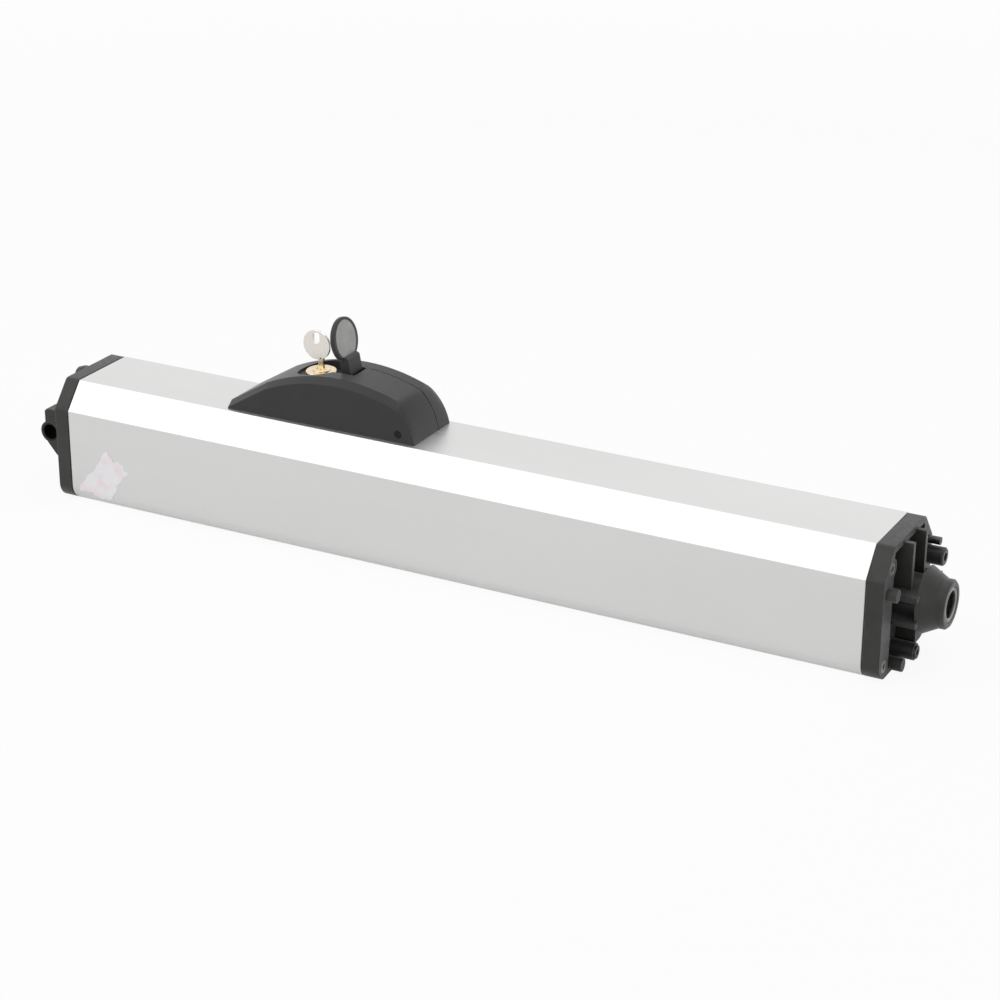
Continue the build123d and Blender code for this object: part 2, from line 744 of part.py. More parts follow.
def drain_plug():
    seat = front_outer + DRAIN_BOSS_LENGTH
    plug = rod_x(seat, seat + DRAIN_HEAD, DRAIN_RADIUS)
    plug = plug + rod_x(front_inner, seat, DRAIN_THREAD)
    plug = plug - hex_x(seat + DRAIN_HEAD - DRAIN_SOCKET_DEPTH, seat + DRAIN_HEAD, DRAIN_SOCKET)
    return Pos(0, DRAIN_Y, DRAIN_Z) * plug


# Cylinder and rod


def cylinder_tube():
    return ring_x(tube_start, tube_end, tube_outer, TUBE_BORE)


def tie_rods():
    end = spigot_start + TIE_ROD_DEPTH
    start = block_rear - TIE_NUT_LENGTH - RIB / 2
    return group([rod_x(start, end, TIE_ROD_RADIUS, y, z) for y, z in tie_rod_places()])


def tie_rod_nuts():
    nut = hex_x(block_rear - TIE_NUT_LENGTH, block_rear, TIE_NUT_FLATS)
    nut = nut - rod_x(block_rear - TIE_NUT_LENGTH, block_rear, TIE_ROD_RADIUS + SEATED)
    return group([Pos(0, y, z) * nut for y, z in tie_rod_places()])


def front_chamber_pipe():
    start = block_front - PIPE_SOCKET
    return ring_x(start, spigot_start + PIPE_SOCKET, PIPE_RADIUS, PIPE_BORE, PIPE_Y, PIPE_Z)


def piston_rod():
    rod = rod_x(piston_end, rod_tip - ROD_CHAMFER, ROD_RADIUS)
    rod = rod + cone_x(rod_tip - ROD_CHAMFER, rod_tip, ROD_RADIUS, ROD_RADIUS - ROD_CHAMFER)
    rod = rod + rod_x(nut_start - RUNNING, piston_end, ROD_TAIL)
    return rod - rod_x(rod_tip - ROD_THREAD_DEPTH, rod_tip, ROD_THREAD)


def piston_ring_starts():
    return [piston_start + PISTON_RING_EDGE, piston_end - PISTON_RING_EDGE - PISTON_RING_WIDTH]


def piston():
    outer = TUBE_BORE - PISTON_CLEARANCE
    body = ring_x(piston_start, piston_end, outer, ROD_TAIL + SEATED)
    for start in piston_ring_starts():
        body = body - ring_x(start, start + PISTON_RING_WIDTH, TUBE_BORE, PISTON_GROOVE)
    return body


def piston_seals():
    pieces = []
    for start in piston_ring_starts():
        low = start + SEATED
        high = start + PISTON_RING_WIDTH - SEATED
        pieces.append(ring_x(low, high, TUBE_BORE - RUNNING, PISTON_GROOVE + SEATED))
    return group(pieces)


def piston_nut():
    nut = hex_x(nut_start, piston_start, PISTON_NUT_FLATS)
    return nut - rod_x(nut_start, piston_start, ROD_TAIL + SEATED)


def snap_start():
    return front_inner + BUSH_LENGTH + ROD_SEAL_LENGTH + WIPER_LENGTH


def rod_guide_bush():
    return ring_x(front_inner, front_inner + BUSH_LENGTH, HUB_BORE - SEATED, ROD_RADIUS + RUNNING)


def rod_seal():
    start = front_inner + BUSH_LENGTH
    seal = ring_x(start, start + ROD_SEAL_LENGTH, HUB_BORE - SEATED, ROD_RADIUS + RUNNING)
    return seal - cone_x(start, start + ROD_SEAL_LENGTH / 2, ROD_RADIUS + WIPER_LIP, ROD_RADIUS)


def rod_wiper():
    start = front_inner + BUSH_LENGTH + ROD_SEAL_LENGTH
    end = start + WIPER_LENGTH
    ring = ring_x(start, end, HUB_BORE - SEATED, ROD_RADIUS + RUNNING)
    lip = cone_x(end, end + WIPER_LIP * 2, ROD_RADIUS + WIPER_LIP, ROD_RADIUS + RUNNING * 4)
    return ring + lip - rod_x(start, end + WIPER_LIP * 2, ROD_RADIUS + RUNNING)


def rod_retaining_ring():
    start = snap_start()
    outer = HUB_BORE + SNAP_GROOVE - SEATED
    ring = ring_x(start, start + SNAP_RING, outer, SNAP_INNER + RUNNING)
    return ring - block(start, start + SNAP_RING, -3, 3, -outer, 0)


# Valve block and its valves


def valve_block():
    half = BLOCK_HALF_WIDTH
    body = block(block_rear, block_front, -half, half, BLOCK_BOTTOM, block_top)
    body = chamfer(body.edges().filter_by(Axis.X), BLOCK_CHAMFER)
    body = body + rod_z(block_top, roof_inner, TURRET_RADIUS, lock_x)
    for x in bypass_places():
        body = body + rod_z(block_top, bypass_boss_top, BYPASS_BOSS, x)
    body = body - rod_x(tube_start, block_front, tube_outer + SEATED)
    body = body - o_ring_groove(block_front - TUBE_SEAT / 2)
    for y, z in tie_rod_places():
        body = body - rod_x(block_rear, block_front, TIE_ROD_RADIUS + LOOSE, y, z)
    body = body - rod_x(block_front - PIPE_SOCKET, block_front, PIPE_RADIUS + SEATED, PIPE_Y, PIPE_Z)
    body = body - rod_x(block_rear, block_rear + SHAFT_DEPTH, PUMP_SHAFT + RUNNING)
    body = body - rod_x(block_rear, block_rear + SHAFT_DEPTH, IDLER_SHAFT + RUNNING, 0, -gear_spacing)
    for y, z in pump_bolt_places():
        body = body - rod_x(block_rear, block_rear + PUMP_BOLT_GRIP, PUMP_BOLT_RADIUS + SEATED, y, z)
    for y in (-BOLT_CIRCLE, BOLT_CIRCLE):
        body = body - rod_x(block_rear, block_rear + MOTOR_BOLT_GRIP, MOTOR_BOLT_RADIUS + SEATED, y)
    body = bore_valves(body)
    neck = BLOCK_BOTTOM + STRAINER_NECK_LENGTH
    return body - rod_z(BLOCK_BOTTOM, neck, STRAINER_NECK + SEATED, lock_x)


def bore_valves(body):
    body = body - rod_z(NEEDLE_SEAT_Z, spindle_bottom, NEEDLE_RADIUS + RUNNING, lock_x)
    body = body - rod_z(spindle_bottom - NEEDLE_SEAT_GAP, roof_inner, SPINDLE_RADIUS + RUNNING, lock_x)
    body = body - rod_z(BLOCK_BOTTOM, NEEDLE_SEAT_Z, VALVE_SEAT_RADIUS, lock_x)
    bottom = spindle_bottom + SPINDLE_SEAL_RISE
    body = body - rod_z(bottom - SEATED, bottom + SPINDLE_SEAL_LENGTH + SEATED,
                        SPINDLE_RADIUS + SPINDLE_SEAL + SEATED, lock_x)
    for x in bypass_places():
        body = body - rod_z(VALVE_SEAT_Z, bypass_boss_top, BYPASS_RADIUS + RUNNING, x)
        body = body - rod_z(CHECK_Z, VALVE_SEAT_Z, VALVE_SEAT_RADIUS, x)
    for x in check_places():
        body = body - rod_y(-BLOCK_HALF_WIDTH, -BLOCK_HALF_WIDTH + CHECK_DEPTH,
                            BYPASS_RADIUS + RUNNING, x, CHECK_Z)
        body = body - rod_y(-BLOCK_HALF_WIDTH + CHECK_DEPTH, 0, VALVE_SEAT_RADIUS, x, CHECK_Z)
    first = block_rear + SHAFT_DEPTH
    body = body - rod_x(block_rear, tube_start, VALVE_SEAT_RADIUS, 0, -pitch_radius)
    return body - drilling((first, 0, -pitch_radius), (first, 0, CHECK_Z), VALVE_SEAT_RADIUS)


def check_places():
    return [lock_x - CHECK_OFFSET, lock_x + CHECK_OFFSET]


def ball_rise():
    """How far a ball's centre stands from the face round its seat's hole."""
    return math.sqrt(VALVE_BALL ** 2 - VALVE_SEAT_RADIUS ** 2) + SEATED


def valve_balls():
    pieces = []
    for x in bypass_places():
        pieces.append(Pos(x, 0, VALVE_SEAT_Z + ball_rise()) * Sphere(VALVE_BALL))
    for x in check_places():
        seat = -BLOCK_HALF_WIDTH + CHECK_DEPTH
        pieces.append(Pos(x, seat - ball_rise(), CHECK_Z) * Sphere(VALVE_BALL))
    return group(pieces)


def coil(length):
    """A coil spring along Z from zero to length."""
    height = length - 2 * SPRING_WIRE
    path = Pos(0, 0, SPRING_WIRE) * Helix(height / 5, height, SPRING_RADIUS)
    start = path @ 0
    wire = Plane(origin=start, z_dir=path % 0) * Circle(SPRING_WIRE)
    return sweep(wire, path=path, is_frenet=True)


def valve_springs():
    relief_start = VALVE_SEAT_Z + ball_rise() + VALVE_BALL
    relief = coil(BYPASS_BOTTOM - relief_start - SEATED)
    pieces = [Pos(x, 0, relief_start + SEATED) * relief for x in bypass_places()]
    plug_end = -BLOCK_HALF_WIDTH + CHECK_PLUG_LENGTH
    ball = -BLOCK_HALF_WIDTH + CHECK_DEPTH - ball_rise() - VALVE_BALL
    check = Rot(-90, 0, 0) * coil(ball - plug_end - SEATED)
    return group(pieces + [Pos(x, plug_end, CHECK_Z) * check for x in check_places()])


def check_valve_plugs():
    start = -BLOCK_HALF_WIDTH
    pieces = []
    for x in check_places():
        plug = rod_y(start, start + CHECK_PLUG_LENGTH, BYPASS_RADIUS, x, CHECK_Z)
        socket = Pos(x, start, CHECK_Z) * Rot(-90, 0, 0) * hex_z(0, SCREW_SOCKET_DEPTH, CHECK_PLUG_SOCKET)
        pieces.append(plug - socket)
    return group(pieces)


def bypass_screw(x):
    top = bypass_boss_top + BYPASS_RISE
    screw = rod_z(BYPASS_BOTTOM, top, BYPASS_RADIUS, x)
    slot = block(x - BYPASS_RADIUS, x + BYPASS_RADIUS, -BYPASS_SLOT / 2, BYPASS_SLOT / 2,
                 top - BYPASS_SLOT_DEPTH, top)
    return screw - slot


def release_needle():
    start = NEEDLE_SEAT_Z + NEEDLE_SEAT_GAP
    shoulder = start + NEEDLE_TIP_LENGTH
    needle = Pos(lock_x, 0, start) * Cone(NEEDLE_TIP, NEEDLE_RADIUS, NEEDLE_TIP_LENGTH, align=LOW)
    needle = needle + rod_z(shoulder, needle_end, NEEDLE_RADIUS, lock_x)
    return needle + rod_z(needle_end, needle_end + NEEDLE_SHANK_LENGTH, NEEDLE_SHANK, lock_x)


def spindle_top():
    return lock_face_z - PLUG_LENGTH


def release_spindle():
    top = spindle_top()
    spindle = rod_z(spindle_bottom, top, SPINDLE_RADIUS, lock_x)
    spindle = spindle - rod_z(spindle_bottom, spindle_bottom + SPINDLE_SOCKET_DEPTH,
                              NEEDLE_SHANK + 4 * RUNNING, lock_x)
    half = PLUG_TAIL / 2 + RUNNING
    return spindle - block(lock_x - half, lock_x + half, -half, half, top - PLUG_TAIL_LENGTH, top)


def suction_strainer():
    strainer = rod_z(strainer_bottom, BLOCK_BOTTOM, STRAINER_RADIUS, lock_x)
    strainer = strainer + rod_z(BLOCK_BOTTOM, BLOCK_BOTTOM + STRAINER_NECK_LENGTH, STRAINER_NECK, lock_x)
    return strainer - rod_z((strainer_bottom + BLOCK_BOTTOM) / 2,
                            BLOCK_BOTTOM + STRAINER_NECK_LENGTH, STRAINER_NECK / 2, lock_x)


# Gear pump


def involute(angle):
    return math.tan(angle) - angle


def flank_angle(radius):
    """Half the angle that a tooth spans at this radius."""
    base = pitch_radius * math.cos(PRESSURE_ANGLE)
    pitch_half = (math.pi * GEAR_MODULE - GEAR_BACKLASH) / (4 * pitch_radius)
    if radius <= base:
        return pitch_half + involute(PRESSURE_ANGLE)
    return pitch_half + involute(PRESSURE_ANGLE) - involute(math.acos(base / radius))


def gear_outline(turn):
    base = pitch_radius * math.cos(PRESSURE_ANGLE)
    tip = pitch_radius + GEAR_ADDENDUM
    steps = 4
    radii = [pitch_radius - GEAR_DEDENDUM]
    radii += [base + (tip - base) * step / steps for step in range(steps + 1)]
    half_tooth = [(radius, flank_angle(radius)) for radius in radii]
    tooth = [(radius, -angle) for radius, angle in half_tooth]
    tooth += [(radius, angle) for radius, angle in reversed(half_tooth)]
    points = []
    for number in range(GEAR_TEETH):
        centre = turn + 2 * math.pi * number / GEAR_TEETH
        for radius, angle in tooth:
            points.append((radius * math.cos(centre + angle), radius * math.sin(centre + angle)))
    return make_face(Plane.YZ * Polyline(*points, close=True))


def gear(turn, z=0.0):
    start = pump_rear + GEAR_CLEARANCE
    width = PUMP_BODY - 2 * GEAR_CLEARANCE
    return Pos(start, 0, z) * extrude(gear_outline(turn), width, dir=(1, 0, 0))


def drive_gear():
    shaft = rod_x(motor_shaft_end() + SHAFT_PARTING, block_rear + SHAFT_DEPTH - SHAFT_PARTING, PUMP_SHAFT)
    return gear(math.pi / 2) + shaft


def driven_gear():
    half_pitch = math.pi / GEAR_TEETH
    start = cover_rear + SHAFT_PARTING
    end = block_rear + SHAFT_DEPTH - SHAFT_PARTING
    return gear(math.pi / 2 + half_pitch, -gear_spacing) + rod_x(start, end, IDLER_SHAFT, 0, -gear_spacing)


def pump_outline(start, end):
    width = PUMP_HALF_WIDTH
    plate = block(start, end, -width, width, PUMP_BOTTOM, PUMP_TOP)
    plate = chamfer(plate.edges().filter_by(Axis.X), 2.0)
    for y, z in pump_bolt_places():
        plate = plate - rod_x(start, end, PUMP_BOLT_RADIUS + LOOSE, y, z)
    return plate


def pump_body():
    cavity = pitch_radius + GEAR_ADDENDUM + GEAR_CLEARANCE
    body = pump_outline(pump_rear, block_rear)
    for z in (0, -gear_spacing):
        body = body - rod_x(pump_rear, block_rear, cavity, 0, z)
    return body


def pump_cover():
    cover = pump_outline(cover_rear, pump_rear)
    cover = cover - rod_x(cover_rear, pump_rear, PUMP_SHAFT + RUNNING)
    return cover - rod_x(cover_rear + SHAFT_PARTING / 2, pump_rear, IDLER_SHAFT + RUNNING, 0, -gear_spacing)


def pump_bolts():
    start = cover_rear - PUMP_BOLT_HEAD_HEIGHT
    bolt = rod_x(start, cover_rear, PUMP_BOLT_HEAD)
    bolt = bolt + rod_x(cover_rear, block_rear + PUMP_BOLT_GRIP - SHAFT_PARTING, PUMP_BOLT_RADIUS)
    bolt = bolt - hex_x(start, start + SCREW_SOCKET_DEPTH, CHECK_PLUG_SOCKET)
    return group([Pos(0, y, z) * bolt for y, z in pump_bolt_places()])


# Motor


def motor_shaft_end():
    return (shield_front + cover_rear) / 2 - SHAFT_PARTING / 2


def bearing_starts():
    return [rear_shield_back + SHAFT_PARTING, shield_front - SHAFT_PARTING - BEARING_LENGTH]


def bolt_holes(piece, start, end):
    for y in (-BOLT_CIRCLE, BOLT_CIRCLE):
        piece = piece - rod_x(start, end, MOTOR_BOLT_RADIUS + RUNNING, y)
    return piece


def motor_front_shield():
    shield = rod_x(shield_back, shield_front, MOTOR_RADIUS)
    shield = shield + ring_x(core_front, shield_back, MOTOR_RADIUS, MOTOR_RADIUS - MOTOR_SHELL)
    for y in (-BOLT_CIRCLE, BOLT_CIRCLE):
        shield = shield + rod_x(core_front, block_rear, LEG_RADIUS, y)
    shield = shield - rod_x(bearing_starts()[1], shield_front, BEARING_OUTER + SEATED)
    shield = shield - rod_x(core_front, shield_front, BEARING_OUTER - BEARING_RACE)
    return bolt_holes(shield, core_front, block_rear)


def motor_rear_shield():
    shield = rod_x(rear_shield_back, rear_shield_front, MOTOR_RADIUS)
    shell = ring_x(rear_shield_front, core_rear, MOTOR_RADIUS, MOTOR_RADIUS - MOTOR_SHELL)
    shield = shield + shell
    for y in (-BOLT_CIRCLE, BOLT_CIRCLE):
        shield = shield + rod_x(rear_shield_front, core_rear, LEG_RADIUS, y)
    first = bearing_starts()[0]
    shield = shield - rod_x(first, first + BEARING_LENGTH, BEARING_OUTER + SEATED)
    shield = shield - rod_x(rear_shield_back, core_rear, BEARING_OUTER - BEARING_RACE)
    return bolt_holes(shield, rear_shield_back, core_rear)


def slot_bar(start, end, grow):
    bars = []
    for number in range(SLOT_COUNT):
        half = SLOT_WIDTH / 2 + grow
        bar = block(start, end, SLOT_INNER - grow, SLOT_OUTER + grow, -half, half)
        bars.append(Rot(360 * number / SLOT_COUNT, 0, 0) * bar)
    return bars


def stator_core():
    core = ring_x(core_rear, core_front, MOTOR_RADIUS, CORE_BORE)
    for bar in slot_bar(core_rear, core_front, RUNNING):
        core = core - bar
    return bolt_holes(core, core_rear, core_front)


def stator_windings():
    inner = SLOT_INNER - RUNNING
    outer = SLOT_OUTER - END_TURN_GAP
    windings = ring_x(core_rear - END_TURN, core_rear, outer, inner)
    windings = windings + ring_x(core_front, core_front + END_TURN, outer, inner)
    for bar in slot_bar(core_rear - RUNNING, core_front + RUNNING, 0):
        windings = windings + bar
    return windings


def rotor_core():
    return ring_x(core_rear, core_front, CORE_BORE - ROTOR_GAP, MOTOR_SHAFT + SEATED)


def motor_shaft():
    return rod_x(rear_shield_back, motor_shaft_end(), MOTOR_SHAFT)


def ball_circle():
    return (BEARING_OUTER + MOTOR_SHAFT) / 2


def race_groove(start):
    path = ball_circle()
    middle = start + BEARING_LENGTH / 2
    return Pos(middle, 0, 0) * Rot(0, 90, 0) * Torus(path, BALL_RADIUS + RUNNING)


def bearing_outer_rings():
    pieces = []
    for start in bearing_starts():
        ring = ring_x(start, start + BEARING_LENGTH, BEARING_OUTER, BEARING_OUTER - BEARING_RACE)
        pieces.append(ring - race_groove(start))
    return group(pieces)


def bearing_inner_rings():
    pieces = []
    for start in bearing_starts():
        outer = MOTOR_SHAFT + BEARING_RACE
        ring = ring_x(start, start + BEARING_LENGTH, outer, MOTOR_SHAFT + SEATED)
        pieces.append(ring - race_groove(start))
    return group(pieces)


def bearing_balls():
    pieces = []
    for start in bearing_starts():
        for number in range(BALL_COUNT):
            ball = Pos(start + BEARING_LENGTH / 2, ball_circle(), 0) * Sphere(BALL_RADIUS)
            pieces.append(Rot(360 * number / BALL_COUNT, 0, 0) * ball)
    return group(pieces)


def shaft_coupling():
    middle = motor_shaft_end() + SHAFT_PARTING / 2
    start = middle - COUPLING_LENGTH / 2
    end = middle + COUPLING_LENGTH / 2
    sleeve = rod_x(start, end, COUPLING_RADIUS)
    sleeve = sleeve - rod_x(start, middle, MOTOR_SHAFT + SEATED)
    return sleeve - rod_x(middle, end, PUMP_SHAFT + SEATED)


def motor_bolts():
    start = rear_shield_back - MOTOR_BOLT_HEAD_HEIGHT
    bolt = rod_x(start, rear_shield_back, MOTOR_BOLT_HEAD)
    bolt = bolt + rod_x(rear_shield_back, block_rear + MOTOR_BOLT_GRIP - SHAFT_PARTING, MOTOR_BOLT_RADIUS)
    return group([Pos(0, y, 0) * bolt for y in (-BOLT_CIRCLE, BOLT_CIRCLE)])


# Release cover


def cover_outline(drop, tuck):
    """The cover's side view, lowered by drop and pulled in at both ends by tuck."""
    brow = (cover_start + COVER_BROW_RUN, roof + COVER_BROW - drop)
    crown = (cover_start + COVER_CROWN_RUN, roof + COVER_CROWN - drop)
    nose = (cover_end - COVER_NOSE_RUN - tuck, roof + COVER_NOSE - drop)
    tip = (cover_start + tuck, roof + max(COVER_TIP - drop, 1.0))
    slope = Line(tip, brow)
    back = ThreePointArc(brow, crown, nose)
    return Plane.XZ * (
        Line((tip[0], roof), tip) + slope + back
        + ThreePointArc(nose, nose_middle(nose, tuck), (cover_end - tuck, roof))
        + Line((cover_end - tuck, roof), (tip[0], roof))
    )


def nose_middle(nose, tuck):
    middle_x = (nose[0] + cover_end - tuck) / 2 + COVER_NOSE_RUN / 5
    return middle_x, (nose[1] + roof) / 2


def cover_shell(drop, tuck, narrow):
    """The cover's outer shape, or the same shape drawn in by the given amounts."""
    flat_top = COVER_TOP_HALF_WIDTH - narrow
    side = COVER_HALF_WIDTH - narrow
    top = make_face(cover_outline(drop, tuck))
    edge = make_face(cover_outline(drop + COVER_BEVEL, tuck))
    core = extrude(top, flat_top, both=True)
    wing = loft([Pos(0, flat_top, 0) * top, Pos(0, side, 0) * edge], ruled=True)
    return core + wing + mirror(wing, about=Plane.XZ)


def release_cover():
    outer = cover_shell(0, 0, 0)
    cover = outer - cover_shell(COVER_WALL, COVER_WALL, COVER_WALL)
    top = roof + COVER_CROWN + COVER_WALL
    well = rod_z(well_floor_z - COVER_WALL, top, WELL_RADIUS + WELL_WALL, lock_x)
    slot_start = hinge_x - LID_SLOT_BEHIND
    slot_end = hinge_x + LID_SLOT_AHEAD
    slot_half = LID_TAB_HALF + LID_SLOT_GAP
    slot_floor = hinge_z - LID_BARREL - LID_SLOT_GAP
    cheek = slot_half + LID_CHEEK
    housing = block(slot_start, slot_end + COVER_WALL, -cheek, cheek, slot_floor - COVER_WALL, top)
    cover = cover + ((well + housing) & outer)
    cover = cover - rod_z(well_floor_z, top, WELL_RADIUS, lock_x)
    cover = cover - rod_z(well_floor_z - COVER_WALL, well_floor_z, LOCK_BODY_RADIUS + LOOSE, lock_x)
    cover = cover - block(slot_start, slot_end, -slot_half, slot_half, slot_floor, top)
    pin_reach = slot_half + LID_PIN_SEAT
    cover = cover - rod_y(-pin_reach, pin_reach, LID_PIN + SEATED, hinge_x, hinge_z)
    groove = block(hinge_x + LID_SLOT_AHEAD + COVER_WALL, cover_end, GROOVE_Y, GROOVE_Y + GROOVE_WIDTH,
                   roof, top)
    cover = cover - (groove - cover_shell(GROOVE_DEPTH, GROOVE_DEPTH, 0))
    screw_x, screw_z = side_screw_place()
    for sign in (-1, 1):
        low, high = sorted((sign * (COVER_HALF_WIDTH - SIDE_SCREW_HEAD_HEIGHT), sign * COVER_HALF_WIDTH))
        cover = cover - rod_y(low, high, SIDE_SCREW_HEAD + LOOSE, screw_x, screw_z)
    return cover - rod_y(-COVER_HALF_WIDTH, COVER_HALF_WIDTH, SIDE_SCREW_RADIUS + LOOSE, screw_x, screw_z)


def side_screw_place():
    return cover_end - COVER_LUG_FROM_END, roof + SIDE_SCREW_Z


def cover_plate():
    gap = COVER_WALL + COVER_PLATE_GAP
    half = COVER_HALF_WIDTH - gap
    start = cover_start + gap + COVER_TIP
    end = cover_end - gap
    plate = block(start, end, -half, half, roof, plate_top)
    plate = chamfer(plate.edges().filter_by(Axis.Z), 4.0)
    screw_x, screw_z = side_screw_place()
    lug_start = screw_x - COVER_LUG_LENGTH / 2
    reach = COVER_HALF_WIDTH - COVER_WALL - LOOSE
    lug = block(lug_start, lug_start + COVER_LUG_LENGTH, reach - COVER_LUG_DEPTH, reach,
                roof, roof + COVER_LUG_HEIGHT)
    for piece in both_sides(lug):
        plate = plate + piece
    plate = plate - rod_y(-half - gap, half + gap, SIDE_SCREW_RADIUS + SEATED, screw_x, screw_z)
    plate = plate - rod_z(roof, plate_top, SPINDLE_RADIUS + LOOSE, lock_x)
    for x in bypass_places():
        plate = plate - rod_z(roof, plate_top, BYPASS_RADIUS + LOOSE, x)
    for x, y in plate_screw_places():
        plate = plate - rod_z(roof, plate_top, PLATE_SCREW_RADIUS + LOOSE, x, y)
    return plate


def cover_screws():
    pieces = []
    for x, y in plate_screw_places():
        screw = rod_z(roof_inner - RIB / 2, plate_top, PLATE_SCREW_RADIUS, x, y)
        pieces.append(screw + rod_z(plate_top, plate_top + PLATE_SCREW_HEAD_HEIGHT, PLATE_SCREW_HEAD, x, y))
    screw_x, screw_z = side_screw_place()
    seat = COVER_HALF_WIDTH - SIDE_SCREW_HEAD_HEIGHT
    screw = rod_y(seat, COVER_HALF_WIDTH - RUNNING, SIDE_SCREW_HEAD, screw_x, screw_z)
    screw = screw + rod_y(seat - SIDE_SCREW_LENGTH, seat, SIDE_SCREW_RADIUS, screw_x, screw_z)
    return group(pieces + both_sides(screw))


# Lock, key and lid


def lock_housing():
    bottom = lock_face_z - LOCK_BODY_LENGTH
    housing = rod_z(well_floor_z, lock_face_z, BEZEL_RADIUS, lock_x)
    housing = chamfer(housing.edges().group_by(Axis.Z)[-1], 0.8)
    housing = housing + rod_z(bottom, well_floor_z, LOCK_BODY_RADIUS, lock_x)
    return housing - rod_z(bottom, lock_face_z, PLUG_RADIUS + RUNNING, lock_x)


def lock_nut():
    top = well_floor_z - COVER_WALL
    nut = hex_z(top - LOCK_NUT_LENGTH, top, LOCK_NUT_FLATS, lock_x)
    return nut - rod_z(top - LOCK_NUT_LENGTH, top, LOCK_BODY_RADIUS + SEATED, lock_x)


def lock_plug():
    bottom = spindle_top()
    top = lock_face_z + PLUG_PROUD
    plug = rod_z(bottom + RUNNING, top, PLUG_RADIUS, lock_x)
    half = KEYWAY_WIDTH / 2
    depth = top - KEY_BLADE_LENGTH - 1
    slot = KEY_THICKNESS / 2 + KEY_CLEARANCE
    plug = plug - block(lock_x - half, lock_x + half, -slot, slot, depth, top)
    tail = PLUG_TAIL / 2
    return plug + block(lock_x - tail, lock_x + tail, -tail, tail, bottom - PLUG_TAIL_LENGTH + 1,
                        bottom + 1)


def key():
    half = KEY_THICKNESS / 2
    blade_bottom = lock_face_z + PLUG_PROUD - KEY_BLADE_LENGTH
    bow_x = lock_x + KEY_BOW_OFFSET
    bow_z = lock_face_z + KEY_BOW_RISE
    blade = block(lock_x - KEY_BLADE / 2, lock_x + KEY_BLADE / 2, -half, half, blade_bottom, lock_face_z)
    neck = block(lock_x - KEY_NECK / 2, lock_x + KEY_NECK / 2, -half, half, blade_bottom, bow_z)
    bow = rod_y(-half, half, KEY_BOW_RADIUS, bow_x, bow_z)
    hole = SlotOverall(KEY_HOLE_LENGTH, KEY_HOLE_WIDTH, rotation=90)
    hole = extrude(Plane.XZ * hole, KEY_THICKNESS, both=True)
    return blade + neck + bow - Pos(bow_x, 0, bow_z + KEY_HOLE_RISE) * hole


def lid_place(piece):
    """Stands a piece drawn about the hinge axis at the lid's pose, leaning over the key."""
    return Pos(hinge_x, 0, hinge_z) * Rot(0, -LID_LEAN, 0) * piece


def lid_inlay_shape(grow):
    outline = Ellipse(LID_INLAY_WIDTH / 2 + grow, LID_INLAY_HEIGHT / 2 + grow)
    start = LID_THICKNESS / 2 - LID_INLAY_DEPTH
    shape = extrude(Plane.YZ * outline, LID_INLAY_DEPTH, dir=(1, 0, 0))
    shape = Pos(start, 0, LID_REACH) * shape
    return shape - block(-LID_THICKNESS, LID_THICKNESS, -LID_RADIUS, LID_RADIUS, 0,
                         LID_TAB_HEIGHT + SEATED - grow)


def lock_lid():
    half = LID_THICKNESS / 2
    disc = rod_x(-half, half, LID_RADIUS, 0, LID_REACH)
    disc = fillet(disc.edges(), 0.8)
    tab = block(-half, LID_TAB_THICKNESS - half, -LID_TAB_HALF, LID_TAB_HALF, 0, LID_TAB_HEIGHT)
    tab = chamfer(tab.edges().filter_by(Axis.Y).group_by(Axis.X)[-1].group_by(Axis.Z)[-1], 1.5)
    lid = disc + tab + rod_y(-LID_TAB_HALF, LID_TAB_HALF, LID_BARREL)
    lid = lid - rod_y(-LID_TAB_HALF, LID_TAB_HALF, LID_PIN + RUNNING)
    return lid_place(lid - lid_inlay_shape(SEATED))


def lid_inlay():
    return lid_place(lid_inlay_shape(0))


def lid_hinge_pin():
    reach = LID_TAB_HALF + LID_SLOT_GAP + LID_PIN_SEAT - SEATED
    return rod_y(-reach, reach, LID_PIN, hinge_x, hinge_z)


